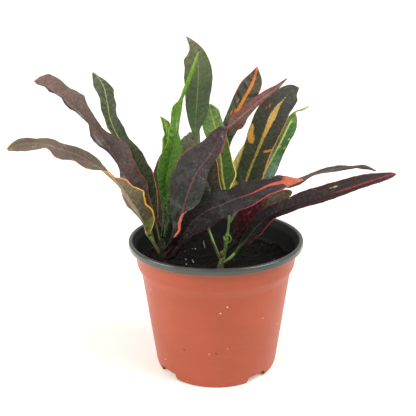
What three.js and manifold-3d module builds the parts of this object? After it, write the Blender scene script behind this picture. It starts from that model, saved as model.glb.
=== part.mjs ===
// A young croton with long wavy leaves, growing in a thin-walled nursery pot.
// Millimetres, +Z up. The origin is the middle of the pot's underside, and the front of the plant faces -Y.
import * as THREE from "three";
import { mergeVertices } from "three/addons/utils/BufferGeometryUtils.js";
import Module from "manifold-3d";

// Pot: a nominal 6 inch nursery pot, moulded thin, with a collar below its rim
const RIM_RADIUS = 77.5;
const POT_HEIGHT = 119.8;
const RIM_DEPTH = 5.7;
const RIM_WIDTH = 3.2;
const RIM_ROUND = 0.9;
const RIM_SHOULDER = 1.5;
const WALL = 1.4;
const FLOOR = 1.6;
const FLOOR_FILLET = 3;
const FOOT_RADIUS = 54.6;
const FOOT_CHAMFER = 1.2;
const FOOT_BAND = 3;
const WALL_FOOT_RADIUS = 55.3;
const WALL_TAPER = 0.128;
const COLLAR_FOOT = 90;
const COLLAR_TOP = 98;
const COLLAR_RADIUS = 70.6;
const COLLAR_FLARE = 1.0;
const POT_SEGMENTS = 64;

// Drainage notches raised in the foot, each with a hole in its roof
const NOTCH_ANGLES = [-50, 40, 130, -140];
const NOTCH_WIDTH = 22;
const NOTCH_TOP_WIDTH = 19;
const NOTCH_HEIGHT = 6.3;
const NOTCH_INNER_RADIUS = 46;
const NOTCH_OUTER_RADIUS = 60;
const BELOW_FOOT = 5;
const DRAIN_WIDTH = 10;
const DRAIN_LENGTH = 5;
const DRAIN_RADIUS = 49;

// Potting soil, filled to well below the rim
const GAP = 0.3;
const SOIL_LEVEL = 98;
const SOIL_EDGE_DROP = 1.5;
const SOIL_RINGS = 6;
// The uneven top of the soil is a sum of waves: height of each, its lengths along X and Y, and its phase.
const SOIL_WAVES = [
  { height: 0.9, x: 11, y: 9, phase: 0.6 },
  { height: 0.7, x: 5.2, y: -6.6, phase: 2.1 },
  { height: 0.5, x: -7.9, y: 3.9, phase: 0.3 },
];

// Leaves: how finely each one is built, and how thick its parts are
const LEAF_STATIONS = 31;
const BLADE = 0.8;
const RIB_THICKNESS = 2.2;
const RIB_TIP_THICKNESS = 1.0;
const TIP_HALF_WIDTH = 0.5;
const STEM_SIDES = 10;
// A section narrower than the first half-width is all stalk. From the second on it is all blade.
const STALK_HALF_WIDTH = 1.6;
const BLADE_HALF_WIDTH = 5;
const STALK_EDGE = 0.3;
// The right margin's waves run this many radians ahead of the left one's.
const RIGHT_WAVE_PHASE = 2.2;
const FULL_WAVE_HALF_WIDTH = 6;

const COLOURS = {
  terracotta: "#c4603f",
  soil: "#1d1815",
  bark: "#5d6b2e",
  purple: "#4b3742",
  black_purple: "#37282f",
  dark_green: "#2f4a2d",
  grey_green: "#44523c",
  young_green: "#4f9a24",
  leaf_green: "#3c7a34",
};

// Each stem is a row of [x, y, z, radius] from its foot in the soil to its top.
const STEMS = {
  stem_left: [
    [-47, -10, 86, 3.4],
    [-47, -10, 98, 3.4],
    [-47, -11, 108, 3.2],
    [-47, -11, 116, 3.0],
    [-47, -11, 122, 2.6],
  ],
  stem_right: [
    [3, -22, 86, 3.5],
    [4, -22, 99, 3.4],
    [6, -21, 107, 2.5],
    [8, -19, 115, 1.8],
    [9, -18, 121, 2.3],
    [11, -16, 128, 1.4],
    [12, -12, 140, 1.3],
    [12, -9, 153, 1.3],
  ],
};

// Each leaf is a row of sections from its seat on the stem to its tip:
// [x, y, z of the rib, half-width on the left, half-width on the right, roll in degrees].
// At roll 0 the upper face looks to -Y, at 90 a leaf that points to +X lies flat with its upper face up,
// and at 180 the underside looks to -Y. fold lifts both halves of the blade off its rib.
const LEAVES = {
  leaf_far_left: {
    stem: "stem_left",
    colour: "purple",
    fold: 30,
    ripple: 2.2,
    waves: 4.5,
    sections: [
      [-47, -11, 106, 1.5, 1.5, 205],
      [-54, -15, 119, 1.4, 1.4, 207],
      [-59, -20, 131, 1.6, 1.6, 210],
      [-61, -23, 139, 10.5, 8.5, 213],
      [-63, -25, 144, 12, 11, 213],
      [-66, -27, 151, 11.5, 13, 213],
      [-72, -30, 163, 16.5, 13.5, 213],
      [-75, -31, 169, 13.5, 12.5, 216],
      [-80, -33, 177, 9.5, 9.5, 230],
      [-87, -35, 185, 4.5, 6.5, 268],
      [-95, -35, 192, 7, 5.5, 315],
      [-104, -35, 198, 7.5, 7, 340],
      [-114, -34, 203, 7.5, 6.5, 345],
      [-125, -32, 206, 8.5, 6, 345],
      [-135, -30, 209, 3.5, 6, 342],
      [-146, -28, 210, 6.5, 4.5, 345],
      [-158, -26, 209, 7.5, 5, 345],
      [-169, -24, 205, 1, 1, 345],
    ],
  },
  leaf_left: {
    stem: "stem_left",
    colour: "purple",
    fold: 28,
    ripple: 2.4,
    waves: 4,
    sections: [
      [-47, -11, 104, 1.5, 1.5, -20],
      [-53, -9, 113, 1.4, 1.4, -22],
      [-58, -4, 130, 1.5, 1.5, -25],
      [-61, -1, 145, 5.5, 5, -28],
      [-68, 0, 158, 7.5, 11.5, -30],
      [-77, 2, 173, 6.5, 12.5, -30],
      [-84, 4, 186, 2, 13, -30],
      [-91, 5, 197, 4.5, 15, -30],
      [-99, 6, 210, 9.5, 7, -25],
      [-109, 7, 222, 1.5, 7, -28],
      [-118, 8, 231, 3, 11.5, -30],
      [-124, 8, 237, 5, 13.5, -30],
      [-131, 9, 243, 1.5, 11, -30],
      [-138, 9, 249, 4, 11, -28],
      [-145, 9, 253, 2, 8.5, -25],
      [-152, 9, 256, 1, 1, -15],
    ],
  },
  leaf_left_green: {
    stem: "stem_left",
    colour: "dark_green",
    fold: 14,
    ripple: 1.6,
    waves: 4,
    sections: [
      [-47, -11, 110, 1.5, 1.5, 0],
      [-49.5, -5.5, 118, 1.4, 1.4, 0],
      [-53, 0, 133, 1.4, 1.4, 0],
      [-57, 5, 149, 6.5, 7, 0],
      [-63, 9, 167, 8, 10.5, 0],
      [-72, 14, 186, 9, 11, 0],
      [-83, 19, 202, 7.5, 7.5, 0],
      [-89, 22, 212, 5, 9.5, 5],
      [-93, 25, 223, 5, 7.5, 5],
      [-95, 28, 235, 6, 7.5, 0],
      [-98, 32, 248, 8.5, 6, 0],
      [-103, 35, 256, 7, 1, 0],
      [-108, 37, 260, 0.8, 0.8, 0],
    ],
  },
  leaf_rolled: {
    stem: "stem_left",
    colour: "grey_green",
    across: [1, 0.2, 0.2],
    fold: 4,
    ripple: 1,
    waves: 3,
    sections: [
      [-46, -10, 115, 1.4, 1.4, 0],
      [-45, -5, 125, 1.3, 1.3, 0],
      [-46, 3, 136, 6, 6, 0],
      [-48, 12, 150, 9.5, 9.5, 0],
      [-45, 17, 168, 11.5, 9.5, 0],
      [-38, 19, 183, 13, 10, 0],
      [-28.7, 20, 193.6, 11.5, 11, 0],
      [-23.7, 20, 199.9, 8.5, 12, 0],
      [-20.5, 19, 205.4, 7, 8, 0],
      [-19, 16, 209.5, 5, 5.5, 0],
      [-18.5, 12.5, 211.2, 4.5, 5, 0],
      [-19.2, 9, 208.6, 4, 4, 0],
      [-19.7, 9, 205.1, 1, 1, 0],
    ],
  },
  leaf_young_long: {
    stem: "stem_left",
    colour: "young_green",
    fold: 18,
    ripple: 1.4,
    waves: 4,
    sections: [
      [-46, -11, 119, 1.4, 1.4, 0],
      [-42.9, -14, 127.4, 1.3, 1.3, 0],
      [-39.8, -18, 141, 1.3, 1.3, 0],
      [-39.6, -22, 156.5, 2.5, 1.5, 0],
      [-40.4, -25, 169, 6, 5, 0],
      [-39.4, -27, 183, 8.5, 7, 0],
      [-36.5, -26, 194.6, 9.5, 8, 0],
      [-33.6, -24, 207.2, 6, 7.5, 0],
      [-31.7, -21, 218.7, 5.5, 2.5, 5],
      [-31.9, -18, 229.3, 4.5, 4, 0],
      [-29.9, -16, 239.1, 2.5, 3.5, -15],
      [-25, -14, 248, 2, 1, -40],
      [-20, -12, 259, 2.5, 1, -20],
      [-16, -10, 269, 2, 1, 0],
      [-13, -9, 280, 0.5, 0.5, 0],
    ],
  },
  leaf_young_side: {
    stem: "stem_left",
    colour: "young_green",
    fold: 18,
    ripple: 1.4,
    waves: 3.5,
    sections: [
      [-48, -12, 119, 1.3, 1.3, 0],
      [-46.4, -13, 127.6, 1.2, 1.2, 0],
      [-44.7, -13, 140.4, 1, 1, 0],
      [-44.1, -13, 154.4, 2, 2.5, 0],
      [-45.3, -13, 168.1, 3, 4.5, 0],
      [-44.2, -14, 180.5, 2.5, 6, 0],
      [-43.2, -14, 192.8, 2.5, 6.5, 0],
      [-41.1, -14, 203.3, 3, 6, 0],
      [-40.9, -14, 211.9, 2.5, 6, 0],
      [-41.8, -15, 220.5, 1.5, 6, 0],
      [-44.6, -16, 228.9, 0.5, 0.5, 0],
    ],
  },
  leaf_tall: {
    stem: "stem_right",
    colour: "grey_green",
    fold: 10,
    ripple: 0.8,
    waves: 3,
    sections: [
      [12, -12, 140, 1.5, 1.5, 0],
      [5, -9, 146, 1.4, 1.4, 0],
      [-3, -5, 157, 1.4, 1.4, 0],
      [-9, -2, 173, 1.4, 1.4, 0],
      [-13, 1, 188, 1.4, 1.4, 0],
      [-16, 4, 203, 1.5, 1.5, 0],
      [-17, 5, 212, 3, 3.4, 0],
      [-17, 6, 221, 6, 7, 0],
      [-16, 7, 231, 9, 10, 0],
      [-15, 8, 243, 10.5, 11, 0],
      [-14, 8, 256, 12, 12, 0],
      [-14, 7, 267, 11.5, 11, 0],
      [-15, 5, 276, 11, 8, 0],
      [-18, 3, 283, 3.5, 5, 0],
      [-23, 1, 291, 0.5, 0.5, 0],
    ],
  },
  leaf_front: {
    stem: "stem_left",
    colour: "black_purple",
    fold: 12,
    ripple: 1.2,
    waves: 3,
    sections: [
      [-46, -13, 111, 1.6, 1.6, 0],
      [-41, -24, 119, 1.5, 1.5, 0],
      [-34, -36, 136, 2, 3, 0],
      [-27, -43, 157, 9.5, 3, 0],
      [-20, -46, 178, 17, 12, 0],
      [-15, -46, 189, 18, 9.5, 0],
      [-8, -43, 198, 16, 6, 4],
      [-1, -40, 205, 12.5, 4.5, 8],
      [5, -37, 213, 10, 5, 14],
      [11, -34, 220, 9, 9.5, 100],
      [19, -30, 229, 7.5, 6, 152],
      [31, -27, 239, 3, 5.5, 165],
      [41, -24, 247, 2.5, 4, 165],
      [50, -21, 254, 2, 1, 160],
      [57, -19, 259, 0.5, 0.5, 160],
    ],
  },
  leaf_front_low: {
    stem: "stem_left",
    colour: "black_purple",
    fold: 12,
    ripple: 1.2,
    waves: 3,
    sections: [
      [-47, -11, 103, 1.6, 1.6, 10],
      [-43, -19, 106, 1.6, 1.6, 10],
      [-38, -25, 112, 3.5, 4.5, 10],
      [-32, -29, 122, 4, 5, 10],
      [-21, -34, 142, 8, 9.5, 10],
      [-8, -39, 155, 12.5, 13, 10],
      [5, -46, 163, 12.5, 10.5, 10],
      [16, -50, 169, 9.5, 10, 12],
      [28, -53, 174, 10.5, 9, 14],
      [41, -55, 181, 5.5, 7.5, 18],
      [54, -55, 184, 5, 5, 20],
      [68, -53, 185, 0.5, 0.5, 20],
    ],
  },
  leaf_right_arch: {
    stem: "stem_right",
    colour: "purple",
    fold: 4,
    ripple: 1,
    waves: 3,
    sections: [
      [12, -13, 136, 1.4, 1.4, 30],
      [17, -5, 142, 1.4, 1.4, 35],
      [24, 4, 148, 2.5, 2.5, 45],
      [33, 10, 154, 5, 5, 60],
      [45, 15, 159, 6.5, 6.5, 75],
      [57, 18, 162, 7, 7, 84],
      [72.4, 20, 163.8, 7.5, 7.5, 88],
      [85.9, 22, 169.2, 7.5, 7.5, 88],
      [100.3, 23, 173, 7, 7, 88],
      [114.7, 24, 175.5, 5.5, 5.5, 88],
      [127.2, 24, 176.4, 4, 4, 88],
      [135.9, 23, 176, 1.8, 1.8, 88],
      [144.2, 23, 172.8, 0.5, 0.5, 88],
    ],
  },
  leaf_right_long: {
    stem: "stem_right",
    colour: "black_purple",
    fold: 12,
    ripple: 0.8,
    waves: 2.5,
    sections: [
      [5, -22, 102, 1.5, 1.5, 30],
      [13, -22, 108, 1.5, 1.5, 30],
      [20, -22, 116, 1.6, 1.6, 30],
      [27, -22, 125, 4.5, 5, 35],
      [36, -20, 136, 7, 8.5, 40],
      [48, -16, 145, 8, 6.5, 45],
      [64, -10, 150, 7.5, 6.5, 50],
      [82, -5, 154, 10, 6, 50],
      [98, -1, 158, 10.5, 6.5, 50],
      [115, 2, 162, 10.5, 5.5, 50],
      [131, 4, 167, 8, 5, 50],
      [144, 5, 171, 5, 4.5, 50],
      [157, 6, 174, 0.5, 0.5, 50],
    ],
  },
  leaf_right_low: {
    stem: "stem_right",
    colour: "black_purple",
    fold: 10,
    ripple: 1,
    waves: 2,
    sections: [
      [8, -19, 113, 1.5, 1.5, 0],
      [14.1, -16, 116.2, 1.6, 1.6, 0],
      [18.5, -12, 122.1, 5, 6, 5],
      [23.8, -8, 129, 9, 10, 10],
      [30.8, -6, 136.6, 13.5, 12, 15],
      [37.8, -5, 143.6, 12.5, 10, 18],
      [44.7, -4, 149.1, 9.5, 6, 20],
      [51.6, -3, 153.3, 7.5, 4, 20],
      [58.6, -2, 157.1, 5.5, 4, 20],
      [63.8, -1, 159.5, 3.5, 3, 20],
      [66.4, -1, 160.8, 1, 1, 20],
    ],
  },
  leaf_orange_rib: {
    stem: "stem_right",
    colour: "dark_green",
    fold: 10,
    ripple: 0.8,
    waves: 3,
    sections: [
      [5, -21, 104, 1.4, 1.4, 0],
      [0, -17, 114, 1.3, 1.3, 0],
      [-6, -8, 129, 1.3, 1.3, 0],
      [-7, -1, 143, 3, 3, 0],
      [-5, 5, 157, 12.5, 10, 0],
      [-2, 11, 172, 12.5, 9.5, 0],
      [3, 16, 188, 10.5, 7.5, 0],
      [10, 20, 205, 8.5, 5.5, 0],
      [17, 24, 222, 8, 9, 0],
      [24, 27, 235, 9.5, 9, 0],
      [30, 30, 245, 10, 9, 0],
      [34, 33, 253, 7.5, 7.5, 0],
      [37, 36, 264, 0.5, 0.5, 0],
    ],
  },
  leaf_green: {
    stem: "stem_right",
    colour: "leaf_green",
    fold: 10,
    ripple: 1.2,
    waves: 3,
    sections: [
      [12, -9, 152, 1.4, 1.4, 0],
      [9, -8, 159, 1.5, 1.5, 0],
      [8, -5, 165, 3.5, 6, 0],
      [6, -2, 174, 3.5, 12, -15],
      [5, 1, 186, 4.5, 10.5, -18],
      [3, 4, 199, 7, 9, -10],
      [1, 8, 211, 10, 8, 0],
      [-2, 11, 222, 10, 7.5, 0],
      [-4, 13, 229, 6.5, 7, 0],
      [-5, 14, 235, 1.5, 1.5, 0],
    ],
  },
  leaf_gold_stripe: {
    stem: "stem_right",
    colour: "dark_green",
    fold: 8,
    ripple: 1,
    waves: 3,
    sections: [
      [12, -9, 150.5, 1.4, 1.4, 0],
      [18, -6, 154, 1.5, 1.5, 0],
      [23, -3, 160, 7, 8, 0],
      [27, 2, 171, 11, 13, 0],
      [31, 5, 182, 12, 13, 0],
      [37, 8, 196, 13.5, 12, 0],
      [43, 11, 210, 15, 12.5, 0],
      [49, 14, 223, 15.5, 13, 0],
      [54, 16, 232, 14, 12, 0],
      [60, 18, 239, 11, 11, 0],
      [66, 20, 245, 6, 8, 0],
      [72, 22, 247, 0.8, 0.8, 0],
    ],
  },
  leaf_spotted: {
    stem: "stem_right",
    colour: "leaf_green",
    fold: 8,
    ripple: 1,
    waves: 3,
    sections: [
      [12, -11, 144, 1.4, 1.4, 0],
      [20, -2, 151, 1.4, 1.4, 0],
      [31, 9, 161, 4, 4, 0],
      [42, 18, 170, 8, 8.5, 0],
      [48, 25, 179, 9, 9.5, 0],
      [54, 29, 189, 9, 7.5, 0],
      [60, 32, 200, 8, 7, 0],
      [65, 35, 210, 6.5, 8, 0],
      [69, 37, 218, 4, 5.5, 0],
      [72, 38, 224, 0.8, 0.8, 0],
      [78, 38, 226, 0.7, 0.7, 0],
      [84, 38, 229, 0.6, 0.6, 0],
    ],
  },
  leaf_back_narrow: {
    stem: "stem_right",
    colour: "leaf_green",
    fold: 10,
    ripple: 1,
    waves: 3,
    sections: [
      [12, -10, 147, 1.3, 1.3, 0],
      [12, -3, 152, 1.3, 1.3, 0],
      [14, 8, 162, 3.5, 4, 0],
      [20, 17, 176, 3.5, 6, 0],
      [28, 25, 191, 3, 6.5, 0],
      [38, 30, 206, 3, 6, 0],
      [45, 33, 219, 2.5, 4, 0],
      [50, 35, 228, 0.5, 0.5, 0],
    ],
  },
};

const wasm = await Module();
wasm.setup();

const radians = THREE.MathUtils.degToRad;
const vector = (values) => new THREE.Vector3(...values);

// A closed geometry as a manifold-3d solid, with its faces turned outwards.
function solidOf(geometry) {
  const bare = new THREE.BufferGeometry();
  bare.setAttribute("position", geometry.getAttribute("position"));
  bare.setIndex(geometry.index);
  const merged = mergeVertices(bare, 1e-4);
  return new wasm.Manifold(
    new wasm.Mesh({
      numProp: 3,
      vertProperties: merged.attributes.position.array,
      triVerts: new Uint32Array(merged.index.array),
    }),
  );
}

// A manifold-3d solid as a geometry that three.js can draw.
function geometryOf(solid) {
  const mesh = solid.getMesh();
  const positions = new Float32Array(mesh.numVert * 3);
  for (let i = 0; i < mesh.numVert; i++) {
    const start = i * mesh.numProp;
    positions.set(mesh.vertProperties.subarray(start, start + 3), i * 3);
  }
  const geometry = new THREE.BufferGeometry();
  geometry.setAttribute("position", new THREE.BufferAttribute(positions, 3));
  geometry.setIndex(new THREE.BufferAttribute(mesh.triVerts, 1));
  geometry.computeVertexNormals();
  return geometry;
}

// A profile of [radius, height] turned about the Z axis.
function turned(profile, segments) {
  const points = profile.map(([radius, height]) => new THREE.Vector2(radius, height));
  return new THREE.LatheGeometry(points, segments).rotateX(Math.PI / 2);
}

// A closed skin over rings of points, each ring running anticlockwise round the way ahead. lower says which
// strips of a ring are split along the other diagonal, so that the two faces of a thin blade are split alike.
function skin(rings, lower, capStrips) {
  const count = rings[0].length;
  const positions = rings.flat().flatMap((point) => point.toArray());
  const index = [];
  for (let i = 0; i < rings.length - 1; i++) {
    for (let k = 0; k < count; k++) {
      const a = i * count + k;
      const b = i * count + ((k + 1) % count);
      const c = b + count;
      const d = a + count;
      if (lower(k)) index.push(a, b, d, b, c, d);
      else index.push(a, b, c, a, c, d);
    }
  }
  const last = (rings.length - 1) * count;
  for (const [a, b, c] of capStrips) {
    index.push(a, c, b);
    index.push(last + a, last + b, last + c);
  }
  const geometry = new THREE.BufferGeometry();
  geometry.setAttribute("position", new THREE.Float32BufferAttribute(positions, 3));
  geometry.setIndex(index);
  return geometry;
}

function pot() {
  const wallRadius = (height) => WALL_FOOT_RADIUS + WALL_TAPER * height;
  const rimFoot = POT_HEIGHT - RIM_DEPTH;
  const collarTopRadius = COLLAR_RADIUS + COLLAR_FLARE;
  const outside = [
    [0, 0],
    [FOOT_RADIUS - FOOT_CHAMFER, 0],
    [FOOT_RADIUS, FOOT_CHAMFER / 2],
    [wallRadius(FOOT_BAND), FOOT_BAND],
    [wallRadius(COLLAR_FOOT), COLLAR_FOOT],
    [COLLAR_RADIUS, COLLAR_TOP],
    [collarTopRadius, rimFoot],
    [RIM_RADIUS - RIM_ROUND, rimFoot],
    [RIM_RADIUS, rimFoot + RIM_ROUND],
    [RIM_RADIUS, POT_HEIGHT - RIM_SHOULDER],
    [RIM_RADIUS - RIM_ROUND, POT_HEIGHT],
    [0, POT_HEIGHT],
  ];
  const body = solidOf(turned(outside, POT_SEGMENTS));
  const aboveRim = POT_HEIGHT + 1;
  const open = [...cavityProfile(0), [RIM_RADIUS - RIM_WIDTH, aboveRim], [0, aboveRim]];
  const cavity = solidOf(turned(open, POT_SEGMENTS)).subtract(notches(WALL));
  return body.subtract(notches(0)).subtract(cavity).subtract(drains());
}

// Radius of the pot's inner face at a height between its floor and its collar.
function innerRadius(height) {
  const wall = WALL_FOOT_RADIUS + WALL_TAPER * Math.min(height, COLLAR_FOOT);
  const share = THREE.MathUtils.clamp((height - COLLAR_FOOT) / (COLLAR_TOP - COLLAR_FOOT), 0, 1);
  return THREE.MathUtils.lerp(wall, COLLAR_RADIUS, share) - WALL;
}

// The inside of the pot, from the middle of its floor up to its rim, drawn in by a clearance.
function cavityProfile(clearance) {
  const rimFoot = POT_HEIGHT - RIM_DEPTH;
  return [
    [0, FLOOR + clearance],
    [innerRadius(FLOOR) - FLOOR_FILLET, FLOOR + clearance],
    [innerRadius(FLOOR + FLOOR_FILLET) - clearance, FLOOR + FLOOR_FILLET],
    [innerRadius(COLLAR_FOOT) - clearance, COLLAR_FOOT],
    [innerRadius(COLLAR_TOP) - clearance, COLLAR_TOP],
    [innerRadius(COLLAR_TOP) + COLLAR_FLARE - clearance, rimFoot - 1],
    [RIM_RADIUS - RIM_WIDTH - clearance, POT_HEIGHT],
  ];
}

// The four notches, grown by a margin: a trapezium standing across the wall, extruded outwards.
function notches(margin) {
  const half = NOTCH_WIDTH / 2 + margin;
  const halfTop = NOTCH_TOP_WIDTH / 2 + margin;
  const outline = new THREE.Shape();
  outline.moveTo(-half, -BELOW_FOOT);
  outline.lineTo(half, -BELOW_FOOT);
  outline.lineTo(half, 0);
  outline.lineTo(halfTop, NOTCH_HEIGHT + margin);
  outline.lineTo(-halfTop, NOTCH_HEIGHT + margin);
  outline.lineTo(-half, 0);
  outline.closePath();
  const inner = NOTCH_INNER_RADIUS - margin;
  const depth = NOTCH_OUTER_RADIUS + margin - inner;
  const block = new THREE.ExtrudeGeometry(outline, { depth, bevelEnabled: false });
  return ringOf(block.rotateX(Math.PI / 2).translate(0, -inner, 0));
}

// One drain hole through the roof of each notch.
function drains() {
  const slot = new THREE.BoxGeometry(DRAIN_WIDTH, DRAIN_LENGTH, 4 * WALL);
  return ringOf(slot.translate(0, -DRAIN_RADIUS, NOTCH_HEIGHT + WALL / 2));
}

// Copies of a shape that stands at the front, turned to each notch's place.
function ringOf(geometry) {
  return NOTCH_ANGLES.map((angle) => solidOf(geometry.clone().rotateZ(radians(angle)))).reduce(
    (all, one) => all.add(one),
  );
}

// Soil fills the pot from the floor, with a crumbly, uneven top.
function soil(stems) {
  const edgeHeight = SOIL_LEVEL - SOIL_EDGE_DROP;
  const edge = innerRadius(edgeHeight - 1) - GAP;
  const side = cavityProfile(GAP).filter(([, height]) => height <= COLLAR_FOOT);
  const top = Array.from({ length: SOIL_RINGS + 1 }, (_, ring) => {
    const share = 1 - ring / SOIL_RINGS;
    return [(edge - SOIL_EDGE_DROP) * share, SOIL_LEVEL];
  });
  const geometry = turned([...side, [edge, edgeHeight - 1], ...top], POT_SEGMENTS);
  const position = geometry.getAttribute("position");
  for (let i = 0; i < position.count; i++) {
    const bump = soilBump(position.getX(i), position.getY(i));
    if (position.getZ(i) > edgeHeight) position.setZ(i, SOIL_LEVEL + bump);
  }
  const filled = solidOf(geometry).subtract(notches(WALL + GAP));
  return stems.reduce((body, stem) => body.subtract(stem), filled);
}

// Height of the soil's top over its level.
function soilBump(x, y) {
  return SOIL_WAVES.reduce(
    (sum, wave) => sum + wave.height * Math.sin(x / wave.x + wave.phase) * Math.cos(y / wave.y),
    0,
  );
}

// A stem of round sections, grown by a margin.
function stem(sections, margin) {
  const last = sections.length - 1;
  const rings = sections.map(([x, y, z, radius], i) => {
    const from = vector(sections[Math.max(i - 1, 0)].slice(0, 3));
    const to = vector(sections[Math.min(i + 1, last)].slice(0, 3));
    const along = to.sub(from).normalize();
    const turn = new THREE.Quaternion().setFromUnitVectors(new THREE.Vector3(0, 0, 1), along);
    const ends = i === 0 ? -margin : i === last ? margin : 0;
    const centre = vector([x, y, z]).addScaledVector(along, ends);
    return Array.from({ length: STEM_SIDES }, (_, k) => {
      const angle = (2 * Math.PI * k) / STEM_SIDES;
      const spoke = new THREE.Vector3(Math.cos(angle), Math.sin(angle), 0);
      return spoke.multiplyScalar(radius + margin).applyQuaternion(turn).add(centre);
    });
  });
  const caps = Array.from({ length: STEM_SIDES - 2 }, (_, k) => [0, k + 1, k + 2]);
  return solidOf(skin(rings, () => false, caps));
}

// Places across a section, as shares of the half-width, and the blade's thickness there.
const COLUMNS = [-1, -0.5, 0, 0.5, 1];

function leaf({ sections, fold, ripple, waves, across }) {
  const rib = new THREE.CatmullRomCurve3(
    sections.map((row) => vector(row.slice(0, 3))),
    false,
    "catmullrom",
    0.5,
  );
  // x, y and z of this curve are the left and right half-widths and the roll.
  const spread = new THREE.CatmullRomCurve3(
    sections.map((row) => vector(row.slice(3, 6))),
    false,
    "catmullrom",
    0.5,
  );
  const lift = radians(fold);
  const rings = [];
  for (let i = 0; i < LEAF_STATIONS; i++) {
    const u = i / (LEAF_STATIONS - 1);
    const t = rib.getUtoTmapping(u, 0);
    const centre = rib.getPoint(t);
    const along = rib.getTangent(t);
    const { x: left, y: right, z: roll } = spread.getPoint(t);
    const { sideways, upwards } = frameOf(along, radians(roll), across);
    const bladeShare = THREE.MathUtils.smoothstep(
      Math.max(left, right),
      STALK_HALF_WIDTH,
      BLADE_HALF_WIDTH,
    );
    const ribHalf = 0.5 * THREE.MathUtils.lerp(RIB_THICKNESS, RIB_TIP_THICKNESS, u);
    const point = (share, face) => {
      const half = Math.max(share < 0 ? left : right, TIP_HALF_WIDTH);
      const wave = Math.sin(2 * Math.PI * waves * u + (share < 0 ? 0 : RIGHT_WAVE_PHASE));
      const out = half * share * Math.cos(lift * bladeShare);
      const bent = half * Math.abs(share) * Math.sin(lift * bladeShare);
      const strength = bladeShare * Math.min(1, half / FULL_WAVE_HALF_WIDTH);
      const rippled = ripple * strength * share * share * wave;
      // The stalk is round. The blade has an even thickness, with a raised rib.
      const stalkHalf = Math.max(half * Math.sqrt(1 - share * share), STALK_EDGE);
      const bladeHalf = share === 0 ? ribHalf : BLADE / 2;
      const thick = face * THREE.MathUtils.lerp(stalkHalf, bladeHalf, bladeShare);
      return centre
        .clone()
        .addScaledVector(sideways, out)
        .addScaledVector(upwards, bent + rippled + thick);
    };
    const upper = COLUMNS.map((share) => point(share, 1));
    const under = COLUMNS.map((share) => point(share, -1)).reverse();
    rings.push([...upper, ...under]);
  }
  const columns = COLUMNS.length;
  const lower = (k) => k >= columns && k < 2 * columns - 1;
  const caps = [];
  for (let k = 0; k < columns - 1; k++) {
    const opposite = 2 * columns - 1 - k;
    caps.push([k, k + 1, opposite], [k + 1, opposite - 1, opposite]);
  }
  return solidOf(skin(rings, lower, caps));
}

// Directions across a leaf and out of its upper face, where it runs along a direction at a roll.
function frameOf(along, roll, across) {
  const sideways = new THREE.Vector3();
  if (across) {
    sideways.set(...across).addScaledVector(along, -along.dot(sideways)).normalize();
  } else {
    const facing = new THREE.Vector3(0, -1, 0);
    facing.addScaledVector(along, -along.dot(facing)).normalize();
    sideways.crossVectors(along, facing);
  }
  const upwards = new THREE.Vector3().crossVectors(sideways, along);
  const turn = new THREE.Quaternion().setFromAxisAngle(along, -roll);
  return { sideways: sideways.applyQuaternion(turn), upwards: upwards.applyQuaternion(turn) };
}

function mesh(name, solid, colour, roughness) {
  const material = new THREE.MeshStandardMaterial({
    color: COLOURS[colour],
    roughness,
    metalness: 0,
  });
  const made = new THREE.Mesh(geometryOf(solid), material);
  made.name = name;
  return made;
}

const plant = new THREE.Group();
plant.add(mesh("pot", pot(), "terracotta", 0.45));
const grown = Object.fromEntries(
  Object.entries(STEMS).map(([name, sections]) => [name, stem(sections, GAP)]),
);
plant.add(mesh("soil", soil(Object.values(grown)), "soil", 0.95));
for (const [name, sections] of Object.entries(STEMS)) {
  plant.add(mesh(name, stem(sections, 0), "bark", 0.6));
}
for (const [name, shape] of Object.entries(LEAVES)) {
  const trimmed = leaf(shape).subtract(grown[shape.stem]).decompose();
  const whole = trimmed.reduce((most, one) => (one.volume() > most.volume() ? one : most));
  plant.add(mesh(name, whole, shape.colour, 0.35));
}

export default plant;
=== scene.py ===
import math

import bmesh
import bpy
import numpy as np
from mathutils import Matrix, Vector, noise


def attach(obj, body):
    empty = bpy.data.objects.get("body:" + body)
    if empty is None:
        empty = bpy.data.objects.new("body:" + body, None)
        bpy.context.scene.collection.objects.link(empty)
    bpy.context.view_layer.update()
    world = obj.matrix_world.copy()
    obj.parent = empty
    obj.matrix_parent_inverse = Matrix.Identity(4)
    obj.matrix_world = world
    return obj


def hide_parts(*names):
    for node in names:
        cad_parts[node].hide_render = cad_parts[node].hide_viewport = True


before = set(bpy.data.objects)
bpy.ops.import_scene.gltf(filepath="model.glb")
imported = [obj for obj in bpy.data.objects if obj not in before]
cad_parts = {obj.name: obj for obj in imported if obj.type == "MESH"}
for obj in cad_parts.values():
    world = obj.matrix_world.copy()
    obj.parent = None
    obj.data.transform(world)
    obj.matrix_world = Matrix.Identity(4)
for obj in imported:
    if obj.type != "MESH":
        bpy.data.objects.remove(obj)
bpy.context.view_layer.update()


# Pot. One thin moulding for a nominal 6 inch nursery pot: terracotta-coloured plastic outside, black inside,
# with a wide dark grey rim. Four notches are raised in its foot, each with a drain hole in its roof.
RIM_RADIUS = 0.0775
POT_HEIGHT = 0.1198
RIM_FOOT = POT_HEIGHT - 0.0057
RIM_WIDTH = 0.0032
POT_WALL = 0.0014
POT_FLOOR = 0.0016
FOOT_RADIUS = 0.0546
WALL_FOOT_RADIUS = 0.0553
WALL_TAPER = 0.128
COLLAR_FOOT = 0.090
COLLAR_TOP = 0.098
COLLAR_RADIUS = 0.0706
COLLAR_FLARE = 0.001
NOTCH_ANGLES = (-50, 40, 130, -140)
NOTCH_INNER, NOTCH_OUTER = 0.046, 0.060
NOTCH_FOOT_HALF, NOTCH_ROOF_HALF = 0.011, 0.0095
NOTCH_HEIGHT = 0.0063
DRAIN_SIZE = (0.010, 0.005, 0.0056)
DRAIN_PLACE = (0, -0.049, 0.007)
POT_SEGMENTS = 128


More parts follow.
